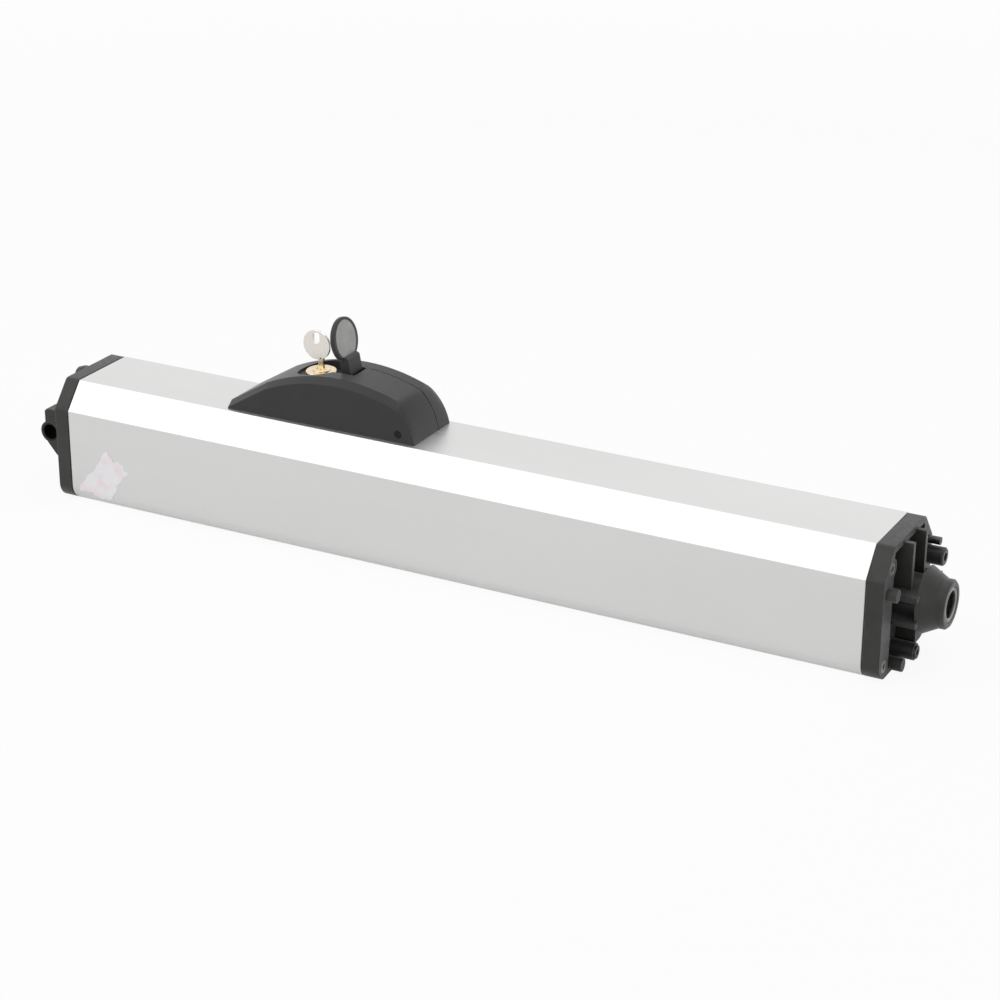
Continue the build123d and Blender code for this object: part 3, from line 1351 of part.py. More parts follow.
nodes = {
    "oil_tank_profile": oil_tank_profile,
    "front_flange": front_flange,
    "rear_flange": rear_flange,
    "flange_gaskets": gaskets,
    "flange_screws": flange_screws,
    "pivot_bushes": pivot_bushes,
    "cable_gland_body": gland_body,
    "cable_gland_nut": gland_nut,
    "cable_gland_seal": gland_seal,
    "filler_plug": filler_plug,
    "vent_screw": vent_screw,
    "drain_plug": drain_plug,
    "cylinder_tube": cylinder_tube,
    "o_rings": o_rings,
    "tie_rods": tie_rods,
    "tie_rod_nuts": tie_rod_nuts,
    "front_chamber_pipe": front_chamber_pipe,
    "piston_rod": piston_rod,
    "piston": piston,
    "piston_seals": piston_seals,
    "piston_nut": piston_nut,
    "rod_guide_bush": rod_guide_bush,
    "rod_seal": rod_seal,
    "rod_wiper": rod_wiper,
    "rod_retaining_ring": rod_retaining_ring,
    "valve_block": valve_block,
    "valve_balls": valve_balls,
    "valve_springs": valve_springs,
    "check_valve_plugs": check_valve_plugs,
    "bypass_screw_opening": lambda: bypass_screw(bypass_places()[0]),
    "bypass_screw_closing": lambda: bypass_screw(bypass_places()[1]),
    "release_needle": release_needle,
    "release_spindle": release_spindle,
    "suction_strainer": suction_strainer,
    "pump_body": pump_body,
    "pump_cover": pump_cover,
    "pump_bolts": pump_bolts,
    "pump_drive_gear": drive_gear,
    "pump_driven_gear": driven_gear,
    "motor_front_shield": motor_front_shield,
    "motor_rear_shield": motor_rear_shield,
    "motor_bolts": motor_bolts,
    "stator_core": stator_core,
    "stator_windings": stator_windings,
    "rotor_core": rotor_core,
    "motor_shaft": motor_shaft,
    "bearing_outer_rings": bearing_outer_rings,
    "bearing_inner_rings": bearing_inner_rings,
    "bearing_balls": bearing_balls,
    "shaft_coupling": shaft_coupling,
    "cover_plate": cover_plate,
    "cover_screws": cover_screws,
    "release_cover": release_cover,
    "lock_housing": lock_housing,
    "lock_nut": lock_nut,
    "lock_plug": lock_plug,
    "key": key,
    "lock_lid": lock_lid,
    "lid_inlay": lid_inlay,
    "lid_hinge_pin": lid_hinge_pin,
}

os.makedirs("parts", exist_ok=True)
for name, make in nodes.items():
    export_step(make(), f"parts/{name}.step")
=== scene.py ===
"""Dresses the swing gate opener and stands it in its studio. Lengths are in metres."""

import json
import math

import bmesh
import bpy
import numpy as np
from bpy.props import FloatProperty, FloatVectorProperty, IntProperty, PointerProperty
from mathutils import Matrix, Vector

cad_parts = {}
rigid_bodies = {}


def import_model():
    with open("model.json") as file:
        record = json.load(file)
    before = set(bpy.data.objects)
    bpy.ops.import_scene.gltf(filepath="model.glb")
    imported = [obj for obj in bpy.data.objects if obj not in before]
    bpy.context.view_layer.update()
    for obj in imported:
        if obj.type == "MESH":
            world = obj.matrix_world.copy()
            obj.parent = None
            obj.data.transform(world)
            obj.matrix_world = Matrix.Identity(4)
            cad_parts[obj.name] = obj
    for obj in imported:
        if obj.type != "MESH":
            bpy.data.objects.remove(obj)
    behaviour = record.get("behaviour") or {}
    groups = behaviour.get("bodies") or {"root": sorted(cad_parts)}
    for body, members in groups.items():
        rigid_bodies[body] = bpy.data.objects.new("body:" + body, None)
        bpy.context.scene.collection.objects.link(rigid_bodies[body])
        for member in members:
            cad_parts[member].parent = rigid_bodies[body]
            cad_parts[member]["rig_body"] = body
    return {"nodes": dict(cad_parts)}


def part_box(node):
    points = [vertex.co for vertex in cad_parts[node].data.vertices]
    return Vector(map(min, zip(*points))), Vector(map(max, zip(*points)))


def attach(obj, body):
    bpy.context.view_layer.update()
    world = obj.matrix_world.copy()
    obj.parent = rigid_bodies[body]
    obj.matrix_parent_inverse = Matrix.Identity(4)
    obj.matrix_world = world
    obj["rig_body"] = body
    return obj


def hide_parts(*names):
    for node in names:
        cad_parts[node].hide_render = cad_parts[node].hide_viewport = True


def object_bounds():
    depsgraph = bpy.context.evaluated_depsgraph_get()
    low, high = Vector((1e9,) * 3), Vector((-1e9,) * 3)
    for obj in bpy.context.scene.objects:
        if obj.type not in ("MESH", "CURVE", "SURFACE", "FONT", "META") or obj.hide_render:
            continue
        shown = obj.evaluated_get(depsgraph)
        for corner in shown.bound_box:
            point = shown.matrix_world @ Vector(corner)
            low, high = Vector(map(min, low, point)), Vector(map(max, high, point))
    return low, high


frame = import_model()
NODES = frame["nodes"]
CAD_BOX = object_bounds()
MIDDLE = (CAD_BOX[0] + CAD_BOX[1]) / 2
BODY_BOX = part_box("oil_tank_profile")
BODY_SIZE = BODY_BOX[1] - BODY_BOX[0]

bl_info = {
    "name": "Swing gate opener",
    "version": (1, 0, 0),
    "blender": (4, 5, 0),
    "location": "3D View > Sidebar > Gate opener",
    "description": "Finishes, label, key, cover and studio for a hydraulic swing gate opener",
    "category": "Object",
}

MM = 0.001
MERGE_GAP = 0.002 * MM
WHITE = (1.0, 1.0, 1.0, 1.0)

# A colour mix node's sockets are found by number
MIX_SHARE, MIX_FIRST, MIX_SECOND, MIX_RESULT = 0, 6, 7, 2


# Settings that a user would change


class StudioSettings(bpy.types.PropertyGroup):
    """Camera, lamps and floor."""

    azimuth: FloatProperty(
        name="Azimuth", description="Camera's angle round the opener",
        default=math.radians(27.84), subtype="ANGLE", unit="ROTATION")
    elevation: FloatProperty(
        name="Elevation", description="Camera's angle above the horizon",
        default=math.radians(23.10), subtype="ANGLE", unit="ROTATION")
    roll: FloatProperty(
        name="Roll", description="Camera's turn about its own axis",
        default=math.radians(0.23), subtype="ANGLE", unit="ROTATION")
    lens: FloatProperty(
        name="Lens", description="Focal length on a 36 mm sensor, in millimetres", default=95.5)
    eye: FloatVectorProperty(
        name="Eye", description="Where the camera stands",
        default=(1.2848, -1.669, 0.8124), subtype="XYZ", unit="LENGTH")
    floor_colour: FloatVectorProperty(
        name="Floor colour", description="Colour of the studio floor",
        default=(0.97, 0.97, 0.97), subtype="COLOR", min=0.0, max=1.0)
    floor_radius: FloatProperty(
        name="Floor radius", description="How far the floor runs before it fades into the backdrop",
        default=3.0, unit="LENGTH")
    floor_glow: FloatProperty(
        name="Floor glow", description="Share of plain white in the floor as the camera sees it",
        default=0.92, min=0.0, max=1.0)
    floor_shine: FloatProperty(
        name="Floor shine", description="Share of plain white in the floor as shiny faces see it",
        default=0.30, min=0.0, max=1.0)
    ambient: FloatProperty(
        name="Ambient", description="Strength of the light from all round", default=0.46)
    key_power: FloatProperty(
        name="Key power", description="Power of the wide lamp above the near side", default=15.0)
    fill_power: FloatProperty(
        name="Fill power", description="Power of the lamp beyond the rod end", default=2.6)
    top_power: FloatProperty(
        name="Top power", description="Power of the lamp over the opener", default=9.0)


class BodyFinish(bpy.types.PropertyGroup):
    """The extruded body and the scrap of label on it."""

    colour: FloatVectorProperty(
        name="Aluminium", description="Colour of the anodised extrusion",
        default=(0.74, 0.74, 0.735), subtype="COLOR", min=0.0, max=1.0)
    roughness: FloatProperty(
        name="Roughness", description="Roughness of the anodised faces", default=0.36)
    section_width: FloatProperty(
        name="Width", description="Body's width", default=BODY_SIZE[1], unit="LENGTH")
    section_height: FloatProperty(
        name="Height", description="Body's height", default=BODY_SIZE[2], unit="LENGTH")
    roof_width: FloatProperty(
        name="Roof width", description="Width of the flat top", default=64 * MM, unit="LENGTH")
    chamfer_drop: FloatProperty(
        name="Chamfer drop", description="Height that each upper chamfer takes",
        default=21.5 * MM, unit="LENGTH")
    corner_radius: FloatProperty(
        name="Corner radius", description="Radius of the two lower corners",
        default=14 * MM, unit="LENGTH")
    edge_radius: FloatProperty(
        name="Edge radius", description="Radius of the roof's and shoulders' edges",
        default=1.5 * MM, unit="LENGTH")
    wall: FloatProperty(
        name="Wall", description="Thickness of the extrusion's wall", default=3.5 * MM, unit="LENGTH")
    label_colour: FloatVectorProperty(
        name="Label", description="Colour of the torn scrap of label",
        default=(0.97, 0.95, 0.97), subtype="COLOR", min=0.0, max=1.0)


class DarkFinish(bpy.types.PropertyGroup):
    """The black castings and mouldings."""

    casting: FloatVectorProperty(
        name="Casting", description="Colour of the painted flanges",
        default=(0.027, 0.0265, 0.025), subtype="COLOR", min=0.0, max=1.0)
    plastic: FloatVectorProperty(
        name="Cover plastic", description="Colour of the release cover",
        default=(0.021, 0.0215, 0.023), subtype="COLOR", min=0.0, max=1.0)
    rubber: FloatVectorProperty(
        name="Rubber", description="Colour of seals and gaskets",
        default=(0.018, 0.018, 0.018), subtype="COLOR", min=0.0, max=1.0)
    # Painted reflection: this light grey stands in for the white studio mirrored in the lid's glossy
    # black face.
    inlay: FloatVectorProperty(
        name="Lid inlay", description="Colour of the disc let into the lid",
        default=(0.43, 0.425, 0.42), subtype="COLOR", min=0.0, max=1.0)


class MetalFinish(bpy.types.PropertyGroup):
    """Bare metals."""

    brass: FloatVectorProperty(
        name="Brass", description="Colour of the lock",
        default=(0.83, 0.70, 0.49), subtype="COLOR", min=0.0, max=1.0)
    nickel: FloatVectorProperty(
        name="Nickel", description="Colour of the key",
        default=(0.83, 0.79, 0.74), subtype="COLOR", min=0.0, max=1.0)
    steel: FloatVectorProperty(
        name="Steel", description="Colour of turned and plated steel",
        default=(0.62, 0.62, 0.63), subtype="COLOR", min=0.0, max=1.0)
    mouth_radius: FloatProperty(
        name="Mouth radius", description="Radius of the hub's mouth", default=13.5 * MM,
        unit="LENGTH")
    scraper_clearance: FloatProperty(
        name="Scraper clearance", description="Gap between the scraper collar and the rod",
        default=0.3 * MM, unit="LENGTH")
    scraper_length: FloatProperty(
        name="Scraper length", description="Length of the scraper collar", default=4.0 * MM,
        unit="LENGTH")
    bow_radius: FloatProperty(
        name="Bow radius", description="Radius of the key's round bow", default=12.2 * MM, unit="LENGTH")
    bow_segments: IntProperty(
        name="Bow segments", description="Steps round the key's bow", default=96, min=24)
    hole_width: FloatProperty(
        name="Hole width", description="Width of the hole in the bow", default=5.5 * MM, unit="LENGTH")
    hole_length: FloatProperty(
        name="Hole length", description="Length of the hole in the bow", default=9.0 * MM, unit="LENGTH")
    hole_rise: FloatProperty(
        name="Hole rise", description="How far the hole stands above the bow's middle",
        default=6.0 * MM, unit="LENGTH")
    blade_width: FloatProperty(
        name="Blade width", description="Width of the key's blade", default=8.4 * MM, unit="LENGTH")
    neck_width: FloatProperty(
        name="Neck width", description="Width of the key between bow and blade",
        default=5.0 * MM, unit="LENGTH")


def settings(group):
    return getattr(bpy.context.scene, group)


# Node materials


class Finish:
    """A node material built step by step on one Principled shader."""

    def __init__(self, name, colour, roughness, metallic=0.0, specular=0.5):
        self.material = bpy.data.materials.new(name)
        self.material.use_nodes = True
        self.tree = self.material.node_tree
        self.shader = self.tree.nodes["Principled BSDF"]
        self.shader.inputs["Metallic"].default_value = metallic
        self.shader.inputs["Roughness"].default_value = roughness
        self.shader.inputs["Specular IOR Level"].default_value = specular
        self.shader.inputs["Base Color"].default_value = (*colour, 1.0)
        self.colour = colour
        self.roughness = roughness

    def add(self, kind, **values):
        """A new node with its settings."""
        made = self.tree.nodes.new(kind)
        for name, value in values.items():
            setattr(made, name, value)
        return made

    def join(self, start, end):
        self.tree.links.new(start, end)

    def place(self, stretch=(1.0, 1.0, 1.0)):
        """Object coordinates, stretched along the axes."""
        coordinates = self.add("ShaderNodeTexCoord")
        mapping = self.add("ShaderNodeMapping")
        mapping.inputs["Scale"].default_value = stretch
        self.join(coordinates.outputs["Object"], mapping.inputs["Vector"])
        return mapping.outputs["Vector"]

    def noise(self, scale, detail=3.0, stretch=(1.0, 1.0, 1.0)):
        """Cloudy noise in the piece's own space, drawn out along an axis where stretch is small."""
        made = self.add("ShaderNodeTexNoise")
        made.inputs["Scale"].default_value = scale
        made.inputs["Detail"].default_value = detail
        self.join(self.place(stretch), made.inputs["Vector"])
        return made.outputs["Fac"]

    def spread(self, value, low, high, start=0.3, end=0.7):
        """Maps a noise value between start and end to low and high."""
        made = self.add("ShaderNodeMapRange")
        made.inputs["From Min"].default_value = start
        made.inputs["From Max"].default_value = end
        made.inputs["To Min"].default_value = low
        made.inputs["To Max"].default_value = high
        self.join(value, made.inputs["Value"])
        return made.outputs["Result"]

    def tint(self, amount, first, second):
        """Blends two colours by a value from 0 to 1."""
        made = self.add("ShaderNodeMix", data_type="RGBA")
        made.inputs[MIX_FIRST].default_value = (*first, 1.0)
        made.inputs[MIX_SECOND].default_value = (*second, 1.0)
        self.join(amount, made.inputs[MIX_SHARE])
        return made.outputs[MIX_RESULT]

    def mottle(self, scale, change, detail=4.0, stretch=(1.0, 1.0, 1.0)):
        """Lets the colour vary a little over the surface."""
        amount = self.spread(self.noise(scale, detail, stretch), 0.0, 1.0)
        darker = tuple(c * (1 - change) for c in self.colour)
        lighter = tuple(min(c * (1 + change), 1.0) for c in self.colour)
        self.join(self.tint(amount, darker, lighter), self.shader.inputs["Base Color"])

    def polish(self, scale, change, detail=3.0, stretch=(1.0, 1.0, 1.0)):
        """Lets the roughness vary over the surface."""
        value = self.noise(scale, detail, stretch)
        low, high = self.roughness - change, self.roughness + change
        self.join(self.spread(value, low, high), self.shader.inputs["Roughness"])

    def wear(self, colour, radius, amount):
        """Shows a second colour in patches where the faces turn over an edge."""
        bevel = self.add("ShaderNodeBevel", samples=6)
        bevel.inputs["Radius"].default_value = radius
        flat = self.add("ShaderNodeNewGeometry")
        turned = self.add("ShaderNodeVectorMath", operation="DOT_PRODUCT")
        self.join(bevel.outputs["Normal"], turned.inputs[0])
        self.join(flat.outputs["Normal"], turned.inputs[1])
        edge = self.spread(turned.outputs["Value"], 1.0, 0.0, 0.80, 0.98)
        patches = self.spread(self.noise(260, 4.0), 0.0, amount, 0.42, 0.62)
        bare = self.add("ShaderNodeMath", operation="MULTIPLY")
        self.join(edge, bare.inputs[0])
        self.join(patches, bare.inputs[1])
        base = self.shader.inputs["Base Color"]
        over = self.add("ShaderNodeMix", data_type="RGBA")
        over.inputs[MIX_SECOND].default_value = (*colour, 1.0)
        self.join(base.links[0].from_socket, over.inputs[MIX_FIRST])
        self.join(bare.outputs["Value"], over.inputs[MIX_SHARE])
        self.join(over.outputs[MIX_RESULT], base)

    def dust(self, amount):
        """A thin bloom that shows on faces seen aslant."""
        self.shader.inputs["Sheen Weight"].default_value = amount
        self.shader.inputs["Sheen Roughness"].default_value = 0.45

    def relief(self, layers, edge=0.0):
        """Bumps from (value, strength, depth) layers, over edges rounded by a small radius."""
        normal = None
        if edge:
            bevel = self.add("ShaderNodeBevel", samples=6)
            bevel.inputs["Radius"].default_value = edge
            normal = bevel.outputs["Normal"]
        for value, strength, depth in layers:
            bump = self.add("ShaderNodeBump")
            bump.inputs["Strength"].default_value = strength
            bump.inputs["Distance"].default_value = depth
            self.join(value, bump.inputs["Height"])
            if normal:
                self.join(normal, bump.inputs["Normal"])
            normal = bump.outputs["Normal"]
        self.join(normal, self.shader.inputs["Normal"])


def anodised_aluminium():
    """Satin anodising over the long, faint lines that an extrusion die leaves."""
    finish = Finish("anodised_aluminium", settings("body_finish").colour,
                    settings("body_finish").roughness, metallic=0.85)
    finish.mottle(14, 0.02, stretch=(0.2, 1.0, 1.0))
    finish.polish(900, 0.04, stretch=(0.004, 1.0, 1.0))
    lines = finish.noise(1500, 2.0, stretch=(0.003, 1.0, 1.0))
    grain = finish.noise(9000, 2.0)
    finish.relief([(lines, 0.10, 0.02 * MM), (grain, 0.05, 0.01 * MM)])
    return finish.material


def painted_casting():
    """Black paint over die-cast skin: orange peel, pits and a dusty bloom."""
    finish = Finish("painted_casting", settings("dark_finish").casting, 0.46, specular=0.36)
    finish.dust(0.38)
    finish.mottle(60, 0.22)
    finish.wear((0.16, 0.155, 0.145), 1.0 * MM, 0.7)
    finish.polish(240, 0.10)
    peel = finish.noise(1100, 3.0)
    pits = finish.noise(420, 5.0)
    finish.relief([(peel, 0.30, 0.05 * MM), (pits, 0.25, 0.10 * MM)], edge=0.9 * MM)
    return finish.material


def moulded_plastic(name, colour, roughness=0.48):
    """Black moulding with a fine spark-eroded grain."""
    finish = Finish(name, colour, roughness, specular=0.36)
    finish.dust(0.32)
    finish.mottle(35, 0.12)
    finish.wear(tuple(2.4 * c for c in colour), 0.7 * MM, 0.6)
    finish.polish(500, 0.05)
    grain = finish.noise(3800, 2.0)
    finish.relief([(grain, 0.28, 0.04 * MM)], edge=0.6 * MM)
    return finish.material


def soft_rubber():
    finish = Finish("soft_rubber", settings("dark_finish").rubber, 0.7)
    finish.mottle(80, 0.2)
    finish.relief([(finish.noise(2500, 2.0), 0.2, 0.03 * MM)])
    return finish.material


def bare_metal(name, colour, roughness, lines=(1.0, 1.0, 1.0), wear=0.08, uneven=1.0,
               edge=0.3 * MM):
    """Machined or plated metal: fine tool lines, uneven polish and soft edges."""
    finish = Finish(name, colour, roughness, metallic=1.0)
    finish.mottle(120, wear)
    finish.polish(700, roughness * 0.35 * uneven, stretch=lines)
    scratches = finish.noise(5200, 3.0, stretch=lines)
    finish.relief([(scratches, 0.12 * uneven, 0.02 * MM)], edge=edge)
    return finish.material


def key_plating(metal):
    """Nickel colour on the bow, turning to brass colour from the bow's foot down, by height alone."""
    finish = Finish("key_nickel", metal.nickel, 0.26, metallic=1.0)
    height = finish.add("ShaderNodeSeparateXYZ")
    finish.join(finish.place(), height.inputs["Vector"])
    # Below the bow's foot the colour is brass and above it nickel; the split follows height only.
    bow_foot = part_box("key")[1].z - 2 * metal.bow_radius
    nickel_share = finish.spread(height.outputs["Z"], 0.0, 1.0, bow_foot - 1 * MM, bow_foot + 3 * MM)
    finish.join(finish.tint(nickel_share, metal.brass, metal.nickel), finish.shader.inputs["Base Color"])
    finish.polish(260, 0.05)
    finish.relief([(finish.noise(1800, 2.0, stretch=(1.0, 1.0, 0.15)), 0.04, 0.01 * MM)])
    return finish.material


def wound_copper():
    """Varnished windings: fine wires running round the stack."""
    finish = Finish("wound_copper", (0.50, 0.21, 0.09), 0.35, metallic=0.7)
    finish.mottle(90, 0.25)
    finish.relief([(finish.noise(1400, 2.0, stretch=(1.0, 0.1, 0.1)), 0.5, 0.3 * MM)])
    return finish.material


def inlay_painted_reflection():
    """Painted reflection: the lid's disc is coloured light grey to stand in for the white studio
    mirrored in the glossy lid, with a faint brushed mottle.
    """
    finish = Finish("inlay_painted_reflection", settings("dark_finish").inlay, 0.38)
    finish.mottle(160, 0.10)
    finish.relief([(finish.noise(2600, 2.0), 0.1, 0.02 * MM)])
    return finish.material


def label_film():
    """Thin cloudy film, bare of print, with a faint pinkish stain and creases."""
    colour = settings("body_finish").label_colour
    finish = Finish("label_film", colour, 0.42)
    stain = finish.spread(finish.noise(75, 3.0), 0.0, 1.0, start=0.52, end=0.72)
    pink = (colour[0], colour[1] * 0.86, colour[2] * 0.89)
    finish.join(finish.tint(stain, colour, pink), finish.shader.inputs["Base Color"])
    creases = finish.noise(110, 4.0, stretch=(1.0, 1.0, 2.2))
    finish.relief([(creases, 0.6, 0.6 * MM)])
    return finish.material


# Surfaces from numpy grids


def grid_faces(rows, columns, wrap_rows, wrap_columns, first=0):
    """Quads of a grid of rows by columns, numbered row by row from first."""
    row = np.arange(rows if wrap_rows else rows - 1)
    column = np.arange(columns if wrap_columns else columns - 1)
    row, column = np.meshgrid(row, column, indexing="ij")
    below = (row + 1) % rows
    beside = (column + 1) % columns
    corners = [row * columns + column, row * columns + beside,
               below * columns + beside, below * columns + column]
    return first + np.stack(corners, axis=-1).reshape(-1, 4)


def surface(name, grids, sharp=30.0):
    """One mesh object from (points, wrap_rows, wrap_columns) grids of shape rows x columns x 3."""
    points, faces, count = [], [], 0
    for grid, wrap_rows, wrap_columns in grids:
        rows, columns = grid.shape[:2]
        faces.append(grid_faces(rows, columns, wrap_rows, wrap_columns, count))
        points.append(grid.reshape(-1, 3))
        count += rows * columns
    mesh = bpy.data.meshes.new(name)
    mesh.from_pydata(np.concatenate(points).tolist(), [], np.concatenate(faces).tolist())
    tidy(mesh, sharp, True)
    made = bpy.data.objects.new(name, mesh)
    bpy.context.scene.collection.objects.link(made)
    return made


def tidy(mesh, sharp, turn_out):
    """Merges doubled points and keeps the edges past sharp degrees crisp."""
    work = bmesh.new()
    work.from_mesh(mesh)
    bmesh.ops.remove_doubles(work, verts=work.verts, dist=MERGE_GAP)
    if turn_out:
        bmesh.ops.recalc_face_normals(work, faces=work.faces)
    work.to_mesh(mesh)
    work.free()
    mesh.shade_smooth()
    mesh.set_sharp_from_angle(angle=math.radians(sharp))


def smooth_copy(node, name, sharp=28.0):
    """A merged copy of a CAD node's mesh, shaded smooth across its round faces, in its place."""
    original = NODES[node]
    mesh = original.data.copy()
    if "custom_normal" in mesh.attributes:
        mesh.attributes.remove(mesh.attributes["custom_normal"])
    tidy(mesh, sharp, False)
    made = bpy.data.objects.new(name, mesh)
    bpy.context.scene.collection.objects.link(made)
    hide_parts(node)
    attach(made, original["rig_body"])
    return made


def paint(piece, material):
    piece.data.materials.clear()
    piece.data.materials.append(material)


def rounded_outline(corners, radii, steps=8):
    """A closed outline with an arc at each corner.

    Each arc's two ends lie on the corner's sides, and its points turn evenly from one end's radius
    to the other's about the arc's centre.
    """
    corners = np.asarray(corners, float)
    radii = np.asarray(radii, float)[:, None]
    before = np.roll(corners, 1, axis=0) - corners
    after = np.roll(corners, -1, axis=0) - corners
    before /= np.linalg.norm(before, axis=1, keepdims=True)
    after /= np.linalg.norm(after, axis=1, keepdims=True)
    half = np.arccos(np.clip((before * after).sum(1, keepdims=True), -1, 1)) / 2
    middle = before + after
    middle /= np.linalg.norm(middle, axis=1, keepdims=True)
    centre = corners + middle * radii / np.sin(half)
    first = corners + before * radii / np.tan(half) - centre
    last = corners + after * radii / np.tan(half) - centre
    turn = np.pi - 2 * half
    share = np.linspace(0, 1, steps)[None, :, None]
    turn = turn[:, :, None]
    arcs = (np.sin((1 - share) * turn) * first[:, None] + np.sin(share * turn) * last[:, None])
    arcs = arcs / np.sin(turn) + centre[:, None]
    return arcs.reshape(-1, 2)


def body_outline(inset):
    """The extrusion's section, drawn in by inset: roof, two chamfers, sides, round lower corners."""
    size = settings("body_finish")
    half = size.section_width / 2
    across = half - size.roof_width / 2
    slope = math.hypot(across, size.chamfer_drop)
    normal_y, normal_z = size.chamfer_drop / slope, across / slope
    side = half - inset
    top = size.section_height / 2 - inset
    reach = normal_y * size.roof_width / 2 + normal_z * size.section_height / 2 - inset
    roof_edge = (reach - normal_z * top) / normal_y
    shoulder = (reach - normal_y * side) / normal_z
    right = [(roof_edge, top), (side, shoulder), (side, -top)]
    left = [(-y, z) for y, z in reversed(right)]
    edge = size.edge_radius
    low = max(size.corner_radius - inset, edge)
    return rounded_outline(right + left, [edge, edge, low, low, edge, edge], 14)


def along_body(stations):
    """A grid from (x, outline) stations, one row for each."""
    rows = [np.column_stack([np.full(len(outline), x), outline]) for x, outline in stations]
    return np.stack(rows)


# The pieces


class OPENER_OT_stage(bpy.types.Operator):
    """Lay the floor and set the lamps, the backdrop and the camera"""

    bl_idname = "opener.stage"
    bl_label = "Studio"

    def execute(self, context):
        studio = settings("opener_studio")
        lay_floor(studio)
        light_world(studio)
        soft_lamp("key_lamp", studio.key_power, toward=(-0.43, -0.53, 0.73), distance=2.2, size=2.4)
        soft_lamp("fill_lamp", studio.fill_power, toward=(0.80, -0.50, 0.33), distance=2.2, size=1.4)
        soft_lamp("top_lamp", studio.top_power, toward=(0.15, 0.25, 0.95), distance=2.4, size=1.2)
        set_camera(studio)
        return {"FINISHED"}


def lay_floor(studio):
    """A round floor whose rim fades away, so that it meets the backdrop with no line."""
    radius = studio.floor_radius
    rings, spokes = 24, 96
    angle = np.linspace(0, 2 * np.pi, spokes, endpoint=False)
    reach = radius * np.linspace(0, 1, rings)[:, None]
    level = BODY_BOX[0][2]
    points = np.stack([MIDDLE[0] + reach * np.cos(angle), MIDDLE[1] + reach * np.sin(angle),
                       np.full((rings, spokes), level)], axis=-1)
    floor = surface("studio_floor", [(points, False, True)])
    if floor.data.polygons[0].normal.z < 0:
        floor.data.flip_normals()
    finish = Finish("floor_paper", studio.floor_colour, 0.9)
    white = finish.add("ShaderNodeEmission")
    clear = finish.add("ShaderNodeBsdfTransparent")
    glow = finish.add("ShaderNodeMixShader")
    fade = finish.add("ShaderNodeMixShader")
    shares = {"Is Camera Ray": studio.floor_glow, "Is Glossy Ray": studio.floor_shine}
    finish.join(largest_share(finish.tree, shares), glow.inputs[0])
    finish.join(finish.shader.outputs[0], glow.inputs[1])
    finish.join(white.outputs[0], glow.inputs[2])
    distance = finish.add("ShaderNodeVectorMath", operation="DISTANCE")
    distance.inputs[1].default_value = (MIDDLE[0], MIDDLE[1], level)
    finish.join(finish.place(), distance.inputs[0])
    fade_start, fade_end = 0.45 * radius, 0.98 * radius
    gone = finish.spread(distance.outputs["Value"], 0.0, 1.0, fade_start, fade_end)
    finish.join(gone, fade.inputs[0])
    finish.join(glow.outputs[0], fade.inputs[1])
    finish.join(clear.outputs[0], fade.inputs[2])
    finish.join(fade.outputs[0], finish.tree.nodes["Material Output"].inputs["Surface"])
    paint(floor, finish.material)


def largest_share(tree, shares):
    """The largest of the shares that belong to the kinds of ray a ray is, or 0 for other light."""
    path = tree.nodes.new("ShaderNodeLightPath")
    largest = None
    for ray, share in shares.items():
        weighed = tree.nodes.new("ShaderNodeMath")
        weighed.operation = "MULTIPLY"
        weighed.inputs[1].default_value = share
        tree.links.new(path.outputs[ray], weighed.inputs[0])
        if largest is None:
            largest = weighed.outputs[0]
            continue
        either = tree.nodes.new("ShaderNodeMath")
        either.operation = "MAXIMUM"
        tree.links.new(largest, either.inputs[0])
        tree.links.new(weighed.outputs[0], either.inputs[1])
        largest = either.outputs[0]
    return largest


def light_world(studio):
    """White behind and in reflections, and a softer light from all round on matt surfaces."""
    world = bpy.data.worlds.new("studio_world")
    bpy.context.scene.world = world
    world.use_nodes = True
    tree = world.node_tree
    tree.nodes.clear()
    plain = tree.nodes.new("ShaderNodeBackground")
    bright = tree.nodes.new("ShaderNodeBackground")
    mix = tree.nodes.new("ShaderNodeMixShader")
    out = tree.nodes.new("ShaderNodeOutputWorld")
    plain.inputs["Color"].default_value = WHITE
    plain.inputs["Strength"].default_value = studio.ambient
    bright.inputs["Color"].default_value = WHITE
    bright.inputs["Strength"].default_value = 1.0
    links = tree.links
    rays = {"Is Camera Ray": 1.0, "Is Glossy Ray": 1.0, "Is Transmission Ray": 1.0}
    links.new(largest_share(tree, rays), mix.inputs[0])
    links.new(plain.outputs[0], mix.inputs[1])
    links.new(bright.outputs[0], mix.inputs[2])
    links.new(mix.outputs[0], out.inputs["Surface"])


def soft_lamp(name, power, toward, distance, size):
    """A square soft lamp that stands off toward a direction and faces the opener's middle."""
    lamp = bpy.data.lights.new(name, "AREA")
    lamp.size = size
    lamp.energy = power
    made = bpy.data.objects.new(name, lamp)
    bpy.context.scene.collection.objects.link(made)
    way = np.array(toward) / np.linalg.norm(toward)
    made.location = np.array(MIDDLE) + way * distance
    made.rotation_euler = (MIDDLE - made.location).to_track_quat("-Z", "Y").to_euler()


def set_camera(studio):
    camera = bpy.data.cameras.new("camera")
    camera.lens = studio.lens
    camera.sensor_width = 36.0
    camera.clip_start = 0.05
    camera.clip_end = 50.0
    made = bpy.data.objects.new("camera", camera)
    bpy.context.scene.collection.objects.link(made)
    made.location = studio.eye
    made.rotation_euler = (math.pi / 2 - studio.elevation, 0.0, studio.azimuth)
    made.rotation_euler.rotate_axis("Z", studio.roll)
    bpy.context.scene.camera = made
    bpy.context.scene.view_settings.view_transform = "Standard"


